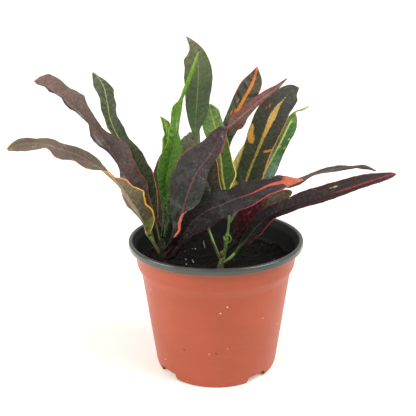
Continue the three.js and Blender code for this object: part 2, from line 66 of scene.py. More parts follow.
def softened(corners):
    """A profile of (radius, height), with each corner of a given reach turned into a small curve."""
    steps = 4
    profile = []
    for i, (radius, height, reach) in enumerate(corners):
        corner = Vector((radius, height))
        if reach == 0:
            profile.append(tuple(corner))
            continue
        before = Vector(corners[i - 1][:2]) - corner
        after = Vector(corners[i + 1][:2]) - corner
        start = corner + before.normalized() * min(reach, before.length / 2)
        end = corner + after.normalized() * min(reach, after.length / 2)
        for k in range(steps + 1):
            t = k / steps
            profile.append(tuple(start.lerp(corner, t).lerp(corner.lerp(end, t), t)))
    return profile


def finished(name, shape):
    """The mesh of a bmesh, as an object in the scene."""
    mesh = bpy.data.meshes.new(name)
    shape.to_mesh(mesh)
    shape.free()
    return in_scene(name, mesh)


def in_scene(name, data):
    """An object in the scene that shows the given data."""
    made = bpy.data.objects.new(name, data)
    bpy.context.collection.objects.link(made)
    return made


def turned(name, profile, segments):
    """A closed solid: a profile that starts and ends on the Z axis, turned about it."""
    shape = bmesh.new()
    rings = []
    for radius, height in profile:
        count = segments if radius > 1e-6 else 1
        angles = [2 * math.pi * k / segments for k in range(count)]
        rings.append([shape.verts.new((radius * math.cos(a), radius * math.sin(a), height)) for a in angles])
    for lower, upper in zip(rings, rings[1:]):
        for k in range(segments):
            corners = [(lower, k), (lower, k + 1), (upper, k + 1), (upper, k)]
            shape.faces.new(dict.fromkeys(ring[n % len(ring)] for ring, n in corners))
    return finished(name, shape)


def notch_blocks(name, margin):
    """The four notches as blocks that stand across the wall, each narrower at the top, grown by a margin."""
    shape = bmesh.new()
    foot, roof, top = NOTCH_FOOT_HALF + margin, NOTCH_ROOF_HALF + margin, NOTCH_HEIGHT + margin
    outline = [(-foot, -0.005), (foot, -0.005), (foot, 0), (roof, top), (-roof, top), (-foot, 0)]
    for degrees in NOTCH_ANGLES:
        turn = math.radians(degrees)
        sideways = Vector((math.cos(turn), math.sin(turn), 0))
        outwards = Vector((math.sin(turn), -math.cos(turn), 0))
        rings = []
        for reach in (NOTCH_OUTER + margin, NOTCH_INNER - margin):
            corners = [sideways * x + outwards * reach + Vector((0, 0, z)) for x, z in outline]
            rings.append([shape.verts.new(corner) for corner in corners])
        near, far = rings
        shape.faces.new(near)
        shape.faces.new(reversed(far))
        for k in range(len(outline)):
            n = (k + 1) % len(outline)
            shape.faces.new((near[n], near[k], far[k], far[n]))
    bmesh.ops.recalc_face_normals(shape, faces=shape.faces)
    return finished(name, shape)


def drain_blocks(name):
    """A slot through the roof of each notch."""
    shape = bmesh.new()
    for degrees in NOTCH_ANGLES:
        corners = bmesh.ops.create_cube(shape, size=1)["verts"]
        bmesh.ops.scale(shape, verts=corners, vec=DRAIN_SIZE)
        bmesh.ops.translate(shape, verts=corners, vec=DRAIN_PLACE)
        bmesh.ops.rotate(shape, verts=corners, matrix=Matrix.Rotation(math.radians(degrees), 3, "Z"))
    return finished(name, shape)


def applied(solid):
    """The mesh of an object with its modifiers applied."""
    return bpy.data.meshes.new_from_object(solid.evaluated_get(bpy.context.evaluated_depsgraph_get()))


def cut(solid, cutter):
    """The solid with the cutter taken out of it. The cutter is used up."""
    knife = solid.modifiers.new("cut", "BOOLEAN")
    knife.operation = "DIFFERENCE"
    knife.solver = "EXACT"
    knife.object = cutter
    result = applied(solid)
    solid.modifiers.remove(knife)
    solid.data = result
    bpy.data.objects.remove(cutter)


def inner_radius(height):
    """Radius of the pot's inner face between its floor and its collar."""
    wall = WALL_FOOT_RADIUS + WALL_TAPER * min(height, COLLAR_FOOT)
    share = min(max((height - COLLAR_FOOT) / (COLLAR_TOP - COLLAR_FOOT), 0), 1)
    return wall + (COLLAR_RADIUS - wall) * share - POT_WALL


outside = [
    (0, 0, 0),
    (FOOT_RADIUS, 0, 0.0009),
    (WALL_FOOT_RADIUS + WALL_TAPER * 0.003, 0.003, 0.0006),
    (WALL_FOOT_RADIUS + WALL_TAPER * COLLAR_FOOT, COLLAR_FOOT, 0.0012),
    (COLLAR_RADIUS, COLLAR_TOP, 0.002),
    (COLLAR_RADIUS + COLLAR_FLARE, RIM_FOOT, 0.0004),
    (RIM_RADIUS, RIM_FOOT, 0.0012),
    (RIM_RADIUS, POT_HEIGHT, 0.0026),
    (RIM_RADIUS - RIM_WIDTH, POT_HEIGHT, 0.0009),
    (RIM_RADIUS - RIM_WIDTH - 0.001, POT_HEIGHT - 0.002, 0),
    (0, POT_HEIGHT - 0.002, 0),
]
cavity = [
    (0, POT_FLOOR, 0),
    (inner_radius(POT_FLOOR), POT_FLOOR, 0.003),
    (inner_radius(COLLAR_FOOT), COLLAR_FOOT, 0.001),
    (inner_radius(COLLAR_TOP), COLLAR_TOP, 0.002),
    (inner_radius(COLLAR_TOP) + COLLAR_FLARE, RIM_FOOT - 0.001, 0.001),
    (RIM_RADIUS - RIM_WIDTH - 0.0006, POT_HEIGHT - 0.0015, 0),
    (RIM_RADIUS - RIM_WIDTH - 0.0006, POT_HEIGHT + 0.001, 0),
    (0, POT_HEIGHT + 0.001, 0),
]
pot = turned("nursery_pot", softened(outside), POT_SEGMENTS)
pot_inside = turned("pot_inside", softened(cavity), POT_SEGMENTS)
cut(pot_inside, notch_blocks("notch_walls", POT_WALL))
cut(pot, notch_blocks("notches", 0))
cut(pot, pot_inside)
cut(pot, drain_blocks("drains"))


def paint(code):
    """A colour given as it looks on screen, such as #c4603f, as the shader's linear values."""
    values = [int(code[i : i + 2], 16) / 255 for i in (1, 3, 5)]
    linear = [v / 12.92 if v <= 0.04045 else ((v + 0.055) / 1.055) ** 2.4 for v in values]
    return (*linear, 1)


def feed(tree, socket, value):
    """Sets an input to a value, a colour code or another node's output."""
    if isinstance(value, bpy.types.NodeSocket):
        tree.links.new(value, socket)
    else:
        socket.default_value = paint(value) if isinstance(value, str) else value


def put(tree, kind, inputs=None, **settings):
    """A new node with its settings and its inputs."""
    made = tree.nodes.new(kind)
    for key, value in settings.items():
        setattr(made, key, value)
    for key, value in (inputs or {}).items():
        feed(tree, made.inputs[key], value)
    return made


def calc(tree, operation, *values):
    """The result of a Math node."""
    return put(tree, "ShaderNodeMath", dict(enumerate(values)), operation=operation).outputs[0]


def times(tree, one, other):
    """One value times another."""
    return calc(tree, "MULTIPLY", one, other)


def rise(tree, value, start, end):
    """A soft step from 0 where a value is at start to 1 where it is at end."""
    inputs = {"Value": value, "From Min": start, "From Max": end}
    return put(tree, "ShaderNodeMapRange", inputs, interpolation_type="SMOOTHSTEP").outputs[0]


def fall(tree, value, start, end):
    """A soft step from 1 where a value is at start to 0 where it is at end."""
    return calc(tree, "SUBTRACT", 1.0, rise(tree, value, start, end))


def blend(tree, share, under, over, mode="MIX"):
    """One colour over another, by a share from 0 to 1."""
    inputs = {"Factor": share, 6: under, 7: over}
    return put(tree, "ShaderNodeMix", inputs, data_type="RGBA", blend_type=mode).outputs[2]


def grain(tree, scale, detail=3, roughness=0.5, place=None):
    """Noise over the piece, in its own coordinates."""
    place = place or put(tree, "ShaderNodeTexCoord").outputs["Object"]
    inputs = {"Vector": place, "Scale": scale, "Detail": detail, "Roughness": roughness}
    return put(tree, "ShaderNodeTexNoise", inputs).outputs["Fac"]


def surface(name, roughness, coat=0.0, coat_roughness=0.2, specular=0.5):
    """A new material with a Principled shader. Returns the material, its tree and the shader's inputs."""
    material = bpy.data.materials.new(name)
    material.use_nodes = True
    shader = material.node_tree.nodes["Principled BSDF"].inputs
    shader["Roughness"].default_value = roughness
    shader["Coat Weight"].default_value = coat
    shader["Coat Roughness"].default_value = coat_roughness
    shader["Specular IOR Level"].default_value = specular
    return material, material.node_tree, shader


def bumped(tree, height, strength, distance, **finer):
    """A normal bumped by a height, over a finer one where it is given."""
    inputs = {"Height": height, "Strength": strength, "Distance": distance, **finer}
    return put(tree, "ShaderNodeBump", inputs).outputs[0]


def coloured(tree, shader, colour, normal):
    """Gives a shader its colour and its normal."""
    tree.links.new(colour, shader["Base Color"])
    tree.links.new(normal, shader["Normal"])


def group(name, inputs, outputs):
    """A new shader node group of numbers. Returns its tree, what it is given and what it hands back."""
    tree = bpy.data.node_groups.new(name, "ShaderNodeTree")
    for label, value in inputs.items():
        tree.interface.new_socket(label, in_out="INPUT", socket_type="NodeSocketFloat").default_value = value
    for label in outputs:
        tree.interface.new_socket(label, in_out="OUTPUT", socket_type="NodeSocketFloat")
    given = tree.nodes.new("NodeGroupInput").outputs
    return tree, given, tree.nodes.new("NodeGroupOutput").inputs


# Scuffs and dust on the pot's plastic: fine rubbed streaks round the wall, and specks of dried soil.
scuffs, given, result = group(
    "Scuffs and dust", {"Streaks": 1.0, "Specks": 1.0}, ("Streaks", "Specks", "Dark specks")
)
place = put(scuffs, "ShaderNodeTexCoord").outputs["Object"]
stretched = put(scuffs, "ShaderNodeMapping", {"Vector": place, "Scale": (1, 1, 7)}).outputs[0]
streaks = rise(scuffs, grain(scuffs, 60, 6, 0.7, stretched), 0.56, 0.74)
scuffs.links.new(times(scuffs, streaks, given["Streaks"]), result["Streaks"])
for label, scale, share in (("Specks", 200, 0.86), ("Dark specks", 150, 0.88)):
    cells = put(scuffs, "ShaderNodeTexVoronoi", {"Vector": place, "Scale": scale}).outputs
    spot = fall(scuffs, cells["Distance"], 0.08, 0.18)
    picked = times(scuffs, spot, calc(scuffs, "GREATER_THAN", cells["Color"], share))
    scuffs.links.new(times(scuffs, picked, given["Specks"]), result[label])


def plastic(name, colour, shade, rubbed, roughness, streaks, specks, coat, specular=0.36):
    """Moulded plastic that varies a little in shade, with rubbed streaks and specks of soil."""
    material, tree, shader = surface(name, roughness, coat, coat_roughness=0.14, specular=specular)
    wear = put(tree, "ShaderNodeGroup", {"Streaks": streaks, "Specks": specks}, node_tree=scuffs).outputs
    looks = blend(tree, rise(tree, grain(tree, 22, 4, 0.6), 0.35, 0.7), colour, shade)
    for mask, code in (("Streaks", rubbed), ("Specks", "#dcc8b8"), ("Dark specks", "#2b211b")):
        looks = blend(tree, wear[mask], looks, code)
    inputs = {"Value": grain(tree, 140, 5, 0.7), "To Min": roughness - 0.07, "To Max": roughness + 0.14}
    tree.links.new(put(tree, "ShaderNodeMapRange", inputs).outputs[0], shader["Roughness"])
    height = calc(tree, "ADD", grain(tree, 900, 3, 0.6), times(tree, wear["Specks"], 3.0))
    coloured(tree, shader, looks, bumped(tree, height, 0.12, 0.0004))
    return material


PLASTICS = (
    ("terracotta_plastic", "#a14628", "#994226", "#b0674f", 0.38, 0.25, 0.8, 0.05),
    ("rim_plastic", "#373834", "#2c2d2a", "#5c5d59", 0.3, 0.7, 0.4, 0.6),
    ("black_plastic", "#232322", "#262524", "#312f2e", 0.55, 0.5, 0.5, 0.0, 0.12),
)
BLACK_FROM = 0.012
pot.data.materials.clear()
for look in PLASTICS:
    pot.data.materials.append(plastic(*look))
for face in pot.data.polygons:
    radius = face.center.xy.length
    inwards = face.center.xy.dot(face.normal.xy) < -0.3 * radius
    on_rim = face.center.z > RIM_FOOT - 0.0004 and radius > RIM_RADIUS - RIM_WIDTH - 0.0009
    within = face.center.z > BLACK_FROM and (inwards or radius < inner_radius(BLACK_FROM) - 0.004)
    face.material_index = 1 if on_rim else 2 if within else 0


def smoothed(piece, degrees):
    """Smooth faces, with an edge kept sharp where its faces meet at more than an angle."""
    piece.data.polygons.foreach_set("use_smooth", [True] * len(piece.data.polygons))
    piece.data.set_sharp_from_angle(angle=math.radians(degrees))


smoothed(pot, 32)
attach(pot, "root")
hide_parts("pot")


# Soil. Damp dark peat mix that fills the pot to about 22 mm under the top of the rim, crumbly on top, with
# loose crumbs and a few white grains of perlite. It stands on the pot's floor and holds the stems.
SOIL_LEVEL = 0.098
SOIL_SHOULDER = 0.0955
SOIL_GAP = 0.0004
SOIL_RINGS = 44
SOIL_SEGMENTS = 150


def soil_height(x, y):
    """Height of the soil's top: long bumps, as in the solid, with crumbly ones over them."""
    long = 0.9 * math.sin(x / 0.011 + 0.6) * math.cos(y / 0.009)
    middle = 0.7 * math.sin(x / 0.0052 + 2.1) * math.cos(y / -0.0066)
    short = 0.5 * math.sin(x / -0.0079 + 0.3) * math.cos(y / 0.0039)
    crumbs = 1.5 * noise.fractal(Vector((x, y, 0.3)) * 190, 0.9, 2.1, 4)
    return SOIL_LEVEL + 0.001 * (long + middle + short + crumbs)


soil_edge = inner_radius(SOIL_SHOULDER) - SOIL_GAP
soil_profile = [(0, POT_FLOOR + SOIL_GAP), (inner_radius(POT_FLOOR) - 0.004, POT_FLOOR + SOIL_GAP)]
soil_profile += [(inner_radius(height) - SOIL_GAP, height) for height in (0.010, COLLAR_FOOT, SOIL_SHOULDER)]
soil_profile += [((soil_edge - 0.0012) * (1 - k / SOIL_RINGS), SOIL_LEVEL) for k in range(SOIL_RINGS + 1)]
soil = turned("potting_soil", soil_profile, SOIL_SEGMENTS)
for corner in soil.data.vertices:
    if corner.co.z > SOIL_SHOULDER + 0.001:
        corner.co.z = soil_height(corner.co.x, corner.co.y)
cut(soil, notch_blocks("soil_notches", POT_WALL + 0.0003))
smoothed(soil, 50)

peat, tree, shader = surface("damp_peat", 0.9, specular=0.15)
fine = grain(tree, 700, 6, 0.7)
coarse = grain(tree, 160, 5, 0.65)
colour = blend(tree, rise(tree, coarse, 0.35, 0.68), "#070605", "#171310")
colour = blend(tree, rise(tree, fine, 0.58, 0.75), colour, "#2c251e")
coloured(tree, shader, colour, bumped(tree, calc(tree, "ADD", fine, coarse), 0.9, 0.0012))
soil.data.materials.append(peat)
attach(soil, "root")
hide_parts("soil")


def scattered(name, ground, material, per_square_metre, smallest, largest, flatness, seed):
    """Grains strewn over the upward faces of a surface by a Geometry Nodes tree, as one plain mesh."""
    tree = bpy.data.node_groups.new(name, "GeometryNodeTree")
    tree.interface.new_socket("Ground", in_out="INPUT", socket_type="NodeSocketGeometry")
    tree.interface.new_socket("Grains", in_out="OUTPUT", socket_type="NodeSocketGeometry")

    def made(kind, inputs=None, output=0, **settings):
        """One output of a new node of the tree."""
        return put(tree, kind, inputs, **settings).outputs[output]

    def chance(kind, later, limits, output=0):
        """A random vector or number for each grain, between limits that are keyed by their sockets."""
        return made("FunctionNodeRandomValue", {**limits, "Seed": seed + later}, output, data_type=kind)

    facing = made("ShaderNodeSeparateXYZ", {0: made("GeometryNodeInputNormal")}, "Z")
    upward = made("FunctionNodeCompare", {0: facing, 1: 0.5}, operation="GREATER_THAN")
    strewn = {"Mesh": made("NodeGroupInput"), "Selection": upward, "Density": per_square_metre, "Seed": seed}
    points = made("GeometryNodeDistributePointsOnFaces", strewn)
    shape = made("GeometryNodeMeshIcoSphere", {"Radius": 0.5, "Subdivisions": 1})
    turn = chance("FLOAT_VECTOR", 1, {0: (0, 0, 0), 1: (2 * math.pi,) * 3})
    length = chance("FLOAT", 2, {2: smallest, 3: largest}, 1)
    uneven = chance("FLOAT_VECTOR", 3, {0: (0.5, 0.5, 0.35), 1: (1.2, 1.0, 0.8)})
    scale = made("ShaderNodeVectorMath", {0: uneven, "Scale": length}, operation="SCALE")
    scale = made("ShaderNodeVectorMath", {0: scale, 1: (1, 1, flatness)}, operation="MULTIPLY")
    placing = {"Points": points, "Instance": shape, "Rotation": turn, "Scale": scale}
    real = made("GeometryNodeRealizeInstances", {0: made("GeometryNodeInstanceOnPoints", placing)})
    painted = made("GeometryNodeSetMaterial", {"Geometry": real, "Material": material})
    tree.links.new(painted, put(tree, "NodeGroupOutput").inputs["Grains"])
    grains = in_scene(name, ground.data.copy())
    modifier = grains.modifiers.new(name, "NODES")
    modifier.node_group = tree
    plain = applied(grains)
    grains.modifiers.remove(modifier)
    grains.data = plain
    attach(grains, "root")


STREWN_FROM = 0.096
STREWN_RADIUS = 0.066
ground = bpy.data.objects.new("soil_top", soil.data.copy())
top = bmesh.new()
top.from_mesh(ground.data)
middles = [(face, face.calc_center_median()) for face in top.faces]
bare = [face for face, middle in middles if middle.z < STREWN_FROM or middle.xy.length > STREWN_RADIUS]
bmesh.ops.delete(top, geom=bare, context="FACES")
top.to_mesh(ground.data)
top.free()

crumb, tree, shader = surface("soil_crumbs", 0.88, specular=0.3)
colour = blend(tree, rise(tree, grain(tree, 240, 2), 0.35, 0.65), "#0a0807", "#29211a")
coloured(tree, shader, colour, bumped(tree, grain(tree, 1500, 4), 0.6, 0.0004))
scattered("soil_crumbs", ground, crumb, 130000, 0.0008, 0.0026, 0.8, 3)

perlite, tree, shader = surface("perlite", 0.8)
colour = blend(tree, rise(tree, grain(tree, 900), 0.4, 0.7), "#d9d4c8", "#8b8377")
coloured(tree, shader, colour, bumped(tree, grain(tree, 2200, 4), 0.8, 0.0004))
scattered("perlite_grains", ground, perlite, 1500, 0.0007, 0.0017, 0.9, 11)
bpy.data.objects.remove(ground)

LUMPS = ((-27, -1), (-21, -4.5), (-26, -14), (-20, -10), (-19, 21.6))
LUMP_RADIUS = 0.0007
shape = bmesh.new()
for x, y in LUMPS:
    middle = Vector((x / 1000, y / 1000, 0))
    middle.z = soil_height(middle.x, middle.y) + 0.0008
    corners = bmesh.ops.create_icosphere(shape, subdivisions=2, radius=LUMP_RADIUS)["verts"]
    for corner in corners:
        corner.co = corner.co * (1 + 0.35 * noise.noise(corner.co * 900 + middle * 4000)) + middle
lumps = finished("perlite_lumps", shape)
lumps.data.materials.append(perlite)
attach(lumps, "root")


# Stems. Two short plantlets stand in the soil: a dark woody one at the left, and a thinner green one at the
# right with leaf scars, a knot where its shoots part, and a brown bud. Their feet are buried.
def curve_through(rows, shares):
    """Rows of numbers on a smooth curve through the given rows, at shares of its way from 0 to 1."""
    rows = np.asarray(rows, float)
    last = len(rows) - 1
    padded = np.vstack([2 * rows[0] - rows[1], rows, 2 * rows[-1] - rows[-2]])
    place = np.clip(np.asarray(shares, float), 0, 1) * last
    first = np.minimum(place.astype(int), last - 1)
    t = (place - first)[:, None]
    before, start, end, after = (padded[first + k] for k in range(4))
    leave = (end - before) / 2
    arrive = (after - start) / 2
    bend = 3 * (end - start) - 2 * leave - arrive
    return start + leave * t + bend * t**2 + (2 * (start - end) + leave + arrive) * t**3


def ring_skin(name, rings):
    """A closed skin over rings of points that run anticlockwise round the way ahead, in millimetres."""
    stations, count, _ = rings.shape
    this = np.arange(stations - 1)[:, None] * count + np.arange(count)
    following = np.arange(stations - 1)[:, None] * count + (np.arange(count) + 1) % count
    sides = np.stack([this, following, following + count, this + count], axis=-1).reshape(-1, 4).tolist()
    foot = list(range(count))[::-1]
    end = list(range((stations - 1) * count, stations * count))
    mesh = bpy.data.meshes.new(name)
    mesh.from_pydata((rings.reshape(-1, 3) / 1000).tolist(), [], sides + [foot, end])
    mesh.polygons.foreach_set("use_smooth", [True] * len(mesh.polygons))
    mesh.update()
    return in_scene(name, mesh)


def unit(rows):
    """Each row brought to length 1."""
    return rows / np.linalg.norm(rows, axis=-1, keepdims=True)


def shoot(name, rows, sides=18, knobbly=0.18, swell=0.0):
    """A round shoot through rows of x, y, z and radius, with rings of leaf scars that swell it."""
    path = curve_through(rows, np.linspace(0, 1, 8 * (len(rows) - 1) + 1))
    along = unit(np.gradient(path[:, :3], axis=0))
    side = unit(np.cross(along, [0.0, 1.0, 0.0]))
    front = np.cross(along, side)
    rings = []
    for i, (x, y, z, radius) in enumerate(path):
        scar = swell * max(0.0, math.sin(z * 0.9)) ** 6
        ring = []
        for k in range(sides):
            angle = 2 * math.pi * k / sides
            spoke = side[i] * math.cos(angle) + front[i] * math.sin(angle)
            rough = knobbly * noise.noise(Vector(spoke * 2.2 + np.array([x, y, z]) * 0.55))
            ring.append(np.array([x, y, z]) + spoke * max(radius + scar + rough, 0.15))
        rings.append(ring)
    return ring_skin(name, np.array(rings))


def bark(name, colour, patches, scars):
    """Young bark: mottled, with small raised pores, and browner where it stands in the soil."""
    material, tree, shader = surface(name, 0.5, coat=0.1)
    tinted = blend(tree, rise(tree, grain(tree, 170, 4, 0.6), 0.42, 0.66), colour, patches)
    place = put(tree, "ShaderNodeTexCoord").outputs["Object"]
    height = put(tree, "ShaderNodeSeparateXYZ", {0: place}).outputs["Z"]
    uneven = calc(tree, "MULTIPLY_ADD", grain(tree, 300), 0.006, height)
    soiled = calc(tree, "MULTIPLY_ADD", rise(tree, uneven, 0.105, 0.114), -0.75, 0.75)
    tinted = blend(tree, soiled, tinted, "#3a2c1e")
    pores = rise(tree, grain(tree, 900, 3, 0.6), 0.6, 0.72)
    coloured(tree, shader, blend(tree, pores, tinted, scars), bumped(tree, pores, 0.5, 0.0004))
    return material


def planted(name, rows, material, slot, **form):
    """A shoot in its place, with its bark."""
    made = shoot(name, rows, **form)
    made.data.materials.append(material)
    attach(made, "root")
    return made


STEMS = {
    "stem_left": [(-47, -10, 86, 3.4), (-47, -10, 98, 3.4), (-47, -11, 108, 3.2), (-47, -11, 116, 3),
        (-47, -11, 122, 2.4)],
    "stem_right": [(3, -22, 86, 3), (4, -22, 99, 2.8), (6, -21, 107, 2), (8, -20, 114, 1.5),
        (8.6, -19.5, 120, 1.6), (9.4, -18.5, 124, 1.9), (10.4, -17, 129, 1.1), (11.4, -14, 138, 1),
        (12, -9, 153, 1.1)],
}
BARKS = {
    "stem_left": bark("dark_bark", "#2c2a1c", "#3d3a22", "#55503a"),
    "stem_right": bark("green_bark", "#668a38", "#3e4a24", "#8aa85c"),
}
for name, rows in STEMS.items():
    stem = planted(name + "_bark", rows, BARKS[name], "stem", swell=0.35)
    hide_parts(name)

# Trim. Two buds and a curled shoot on the right stem, a dry sliver that lies on the soil, and pale sheaths
# round three stalks.
BUDS = {
    "bud_low": [(5, -23, 109, 1.2), (5, -25, 111, 1.9), (5, -26, 114, 1.5), (6, -26, 116, 0.4)],
    "bud_high": [(9, -19, 119, 1.1), (8, -20, 122, 1.4), (7, -20, 125, 0.9), (7, -20, 127, 0.3)],
    "curled_shoot": [(9, -19, 126, 0.9), (11.4, -19, 127, 0.8), (13.1, -19, 123.8, 0.7),
        (11.4, -19, 120.6, 0.6), (9, -19, 120, 0.6)],
}
brown_bud = bark("bud_scales", "#6a4a38", "#4a3226", "#8a6a50")
for name, rows in BUDS.items():
    planted(name, rows, brown_bud if name == "bud_low" else BARKS["stem_right"], "stem", sides=12)

SLIVER = [(-11.9, 43, 99.6, 0.3), (-11.2, 32, 100.4, 0.8), (-10, 21.5, 99.6, 0.3)]
planted("dry_sliver", SLIVER, bark("dry_straw", "#b4a488", "#8c7c64", "#c8b89c"), "soil", sides=8)

SHEATHS = {
    "stalk_right": [(5, -22, 102, 1.2), (9, -22.2, 105, 1.4), (13, -22.3, 108, 1.4), (19, -22.3, 115, 1)],
    "stalk_middle": [(4.5, -20.5, 105, 1), (2, -18.5, 110, 1.1), (-2, -14, 119, 1.1), (-5.5, -9, 128, 0.8)],
    "stalk_far_left": [(-54, -15, 119, 1.1), (-57, -18.5, 126, 1.5), (-59.2, -20.5, 131.5, 0.9)],
}
fresh_green = bark("stalk_sheaths", "#80a84e", "#6c983e", "#98c068")
for name, rows in SHEATHS.items():
    planted(name, rows, fresh_green, "stem", sides=12, knobbly=0.08)


# Leaves. Each is one blade grown from its stalk: thin, glossy, with a raised rib, side veins that quilt the
# blade a little, and a waved margin. The foot of its stalk sits on a stem. Scratch programs worked out the
# leaves' rows from points and margins picked on the photograph, at guessed depths.
RING_SPACING = 1.4
VEIN_SPACING = 5.2
VEIN_SLANT = 0.75
NEAR_RIB = (0.3, 0.7, 1.2)
SHARES = (0.22, 0.36, 0.5, 0.63, 0.75, 0.85, 0.93, 0.98, 1.0)
HALF_THICKNESS = 0.24
RIDGE = 0.22
KEEL_AT_FOOT = 1.15
KEEL_AT_TIP = 0.4
STALK_HALF = 1.6
BLADE_HALF = 5.0
RAGGED = 0.02


def wander(seed, places):
    """Smooth noise from -1 to 1 at places along a line."""
    return np.array([noise.noise(Vector((place, seed * 0.37, 4.1))) for place in places])


def leaf_blade(name, sections, edges, fold, ripple, waves, quilt, frill, across):
    """The mesh of a leaf, in millimetres. Sections are rows of x, y and z of the rib, then half-widths to the
    left and right unless edges give them, then the roll in degrees if it rolls. Edges are rows of a share of
    the length and both half-widths. Attributes tell the shader where on the leaf each point is."""
    seed = len(name) + sum(map(ord, name)) % 97
    sections = np.array(sections, float)
    dense = np.linspace(0, 1, 900)
    way = np.linalg.norm(np.diff(curve_through(sections[:, :3], dense), axis=0), axis=1)
    travelled = np.concatenate([[0], np.cumsum(way)])
    length = travelled[-1]
    u = np.linspace(0, 1, int(length / RING_SPACING) + 2)
    course = curve_through(sections, np.interp(u * length, travelled, dense))
    rib = course[:, :3]
    if edges:
        places, lefts, rights = np.array(edges, float).T
        left = np.interp(u, places, lefts)
        right = np.interp(u, places, rights)
        roll = course[:, 3:]
    else:
        left, right = course[:, 3:5].T
        roll = course[:, 5:]
    along = unit(np.gradient(rib, axis=0))
    if across is None:
        facing = np.array([0.0, -1.0, 0.0])
        sideways = np.cross(along, unit(facing - along * (along @ facing)[:, None]))
    else:
        across = np.array(across, float)
        sideways = unit(across - along * (along @ across)[:, None])
    upwards = np.cross(sideways, along)
    if roll.size:
        cosine, sine = np.cos(np.radians(roll)), np.sin(np.radians(roll))
        sideways, upwards = sideways * cosine + upwards * sine, upwards * cosine - sideways * sine
    blade = np.clip((np.maximum(left, right) - STALK_HALF) / (BLADE_HALF - STALK_HALF), 0, 1)
    blade = blade * blade * (3 - 2 * blade)
    lift = math.radians(fold) * blade
    keel = KEEL_AT_FOOT + (KEEL_AT_TIP - KEEL_AT_FOOT) * u
    upper, under, rib_mm, edge_mm = [], [], [], []
    for side, width in ((-1, left), (1, right)):
        uneven = wander(seed + side, u * length / 5.5) + 0.5 * wander(seed - side, u * length / 2.4)
        half = np.maximum(width * (1 + RAGGED * uneven * blade), 0.4)
        crumple = wander(seed + 3 * side, u * length / 7.0) + 0.6 * wander(seed - 3 * side, u * length / 3.2)
        wave = np.sin(2 * np.pi * waves * u + (0 if side < 0 else 2.2))
        steps = [np.minimum(mm, half * 0.06 * (k + 1)) for k, mm in enumerate(NEAR_RIB)]
        for reach in steps + [half * share for share in SHARES]:
            share = reach / half
            strength = blade * np.minimum(1, half / 6) * share**2
            soft = np.sqrt(share**2 + 0.012) - math.sqrt(0.012)
            bent = half * soft * np.sin(lift) + (ripple * wave + 2 * frill * share * crumple) * strength
            vein = ((u * length - reach * VEIN_SLANT) / VEIN_SPACING) % 1.0
            pillow = np.sin(np.pi * vein) ** 0.6 * np.sin(np.pi * np.minimum(share, 1)) * quilt * blade
            stalk = half * np.sqrt(np.maximum(1 - share**2, 0))
            body = HALF_THICKNESS * np.sqrt(np.maximum(1 - share**6, 0))
            ridge_top = RIDGE * np.exp(-((reach / 0.7) ** 2))
            ridge_low = keel * np.sqrt(np.maximum(1 - (reach / (keel * 1.1)) ** 2, 0))
            top = stalk + (body + ridge_top - stalk) * blade
            low = stalk + (np.maximum(body, ridge_low) - stalk) * blade
            place = rib + sideways * (side * half * share * np.cos(lift))[:, None]
            upper.append(place + upwards * (bent + pillow + top)[:, None])
            under.append(place + upwards * (bent + pillow - low)[:, None])
            rib_mm.append(side * reach)
            edge_mm.append(half - reach)
    half = np.maximum(np.maximum(left, right), 0.5)
    top = rib + upwards * (half + (HALF_THICKNESS + RIDGE - half) * blade)[:, None]
    low = rib - upwards * (half + (keel - half) * blade)[:, None]
    steps = len(NEAR_RIB) + len(SHARES)

    def around(over, over_rib, below, below_rib):
        """Values in their order round the leaf: over the top from the left margin, and back below."""
        above = over[steps - 1 :: -1] + [over_rib] + over[steps:]
        beneath = below[-2 : steps - 1 : -1] + [below_rib] + below[: steps - 1]
        return np.stack(above + beneath, axis=1)

    rings = around(upper, top, under, low)
    leaf = ring_skin(name, rings)
    zero, one, narrower = np.zeros_like(u), np.ones_like(u), np.minimum(left, right)
    facts = {
        "across": around(rib_mm, zero, rib_mm, zero),
        "margin": around(edge_mm, narrower, edge_mm, narrower),
        "underside": around([zero] * 2 * steps, zero, [one] * 2 * steps, one),
    }
    for label, values in (("along", u), ("travelled", u * length), ("blade", blade)):
        facts[label] = np.repeat(values[:, None], rings.shape[1], axis=1)
    for label, values in facts.items():
        attribute = leaf.data.attributes.new(label, "FLOAT", "POINT")
        attribute.data.foreach_set("value", values.reshape(-1).astype(np.float32))
    return leaf, length


# The leaf's skin. One shader node group lays out what all the leaves share: side veins, streaks that follow
# them, a fine web, and pale flecks that are partly dust and partly a painted sheen. Another draws one blotch.
# Each leaf's own colours are laid over its two faces.
# A scratch program set 61 of them, in the upper and under rows, by colours sampled in the photograph.
def fact(tree, label):
    """One of the measures that the leaf's mesh carries."""
    return put(tree, "ShaderNodeAttribute", attribute_name=label).outputs["Fac"]


pattern, given, result = group("Leaf pattern", {"Seed": 0.0}, ("Veins", "Web", "Streaks", "Fray", "Dust and sheen"))
across = fact(pattern, "across")
travel = fact(pattern, "travelled")
slanted = calc(pattern, "MULTIPLY_ADD", calc(pattern, "ABSOLUTE", across), -VEIN_SLANT, travel)
swayed = calc(pattern, "MULTIPLY_ADD", grain(pattern, 130, 2), 3.4, slanted)
off_vein = calc(pattern, "PINGPONG", calc(pattern, "DIVIDE", swayed, VEIN_SPACING), 0.5)
veins = times(pattern, fall(pattern, off_vein, 0.0, 0.12), rise(pattern, grain(pattern, 210), 0.38, 0.62))
pattern.links.new(veins, result["Veins"])
web = put(pattern, "ShaderNodeTexVoronoi", {"Scale": 900}, feature="DISTANCE_TO_EDGE").outputs["Distance"]
pattern.links.new(fall(pattern, web, 0.0, 0.12), result["Web"])


def laid_out(crosswise, travelled, lengthwise):
    """A place on the leaf for a noise or a grain, stretched along the leaf."""
    inputs = {"X": times(pattern, across, crosswise), "Y": times(pattern, travelled, lengthwise)}
    return put(pattern, "ShaderNodeCombineXYZ", {**inputs, "Z": given["Seed"]}).outputs[0]


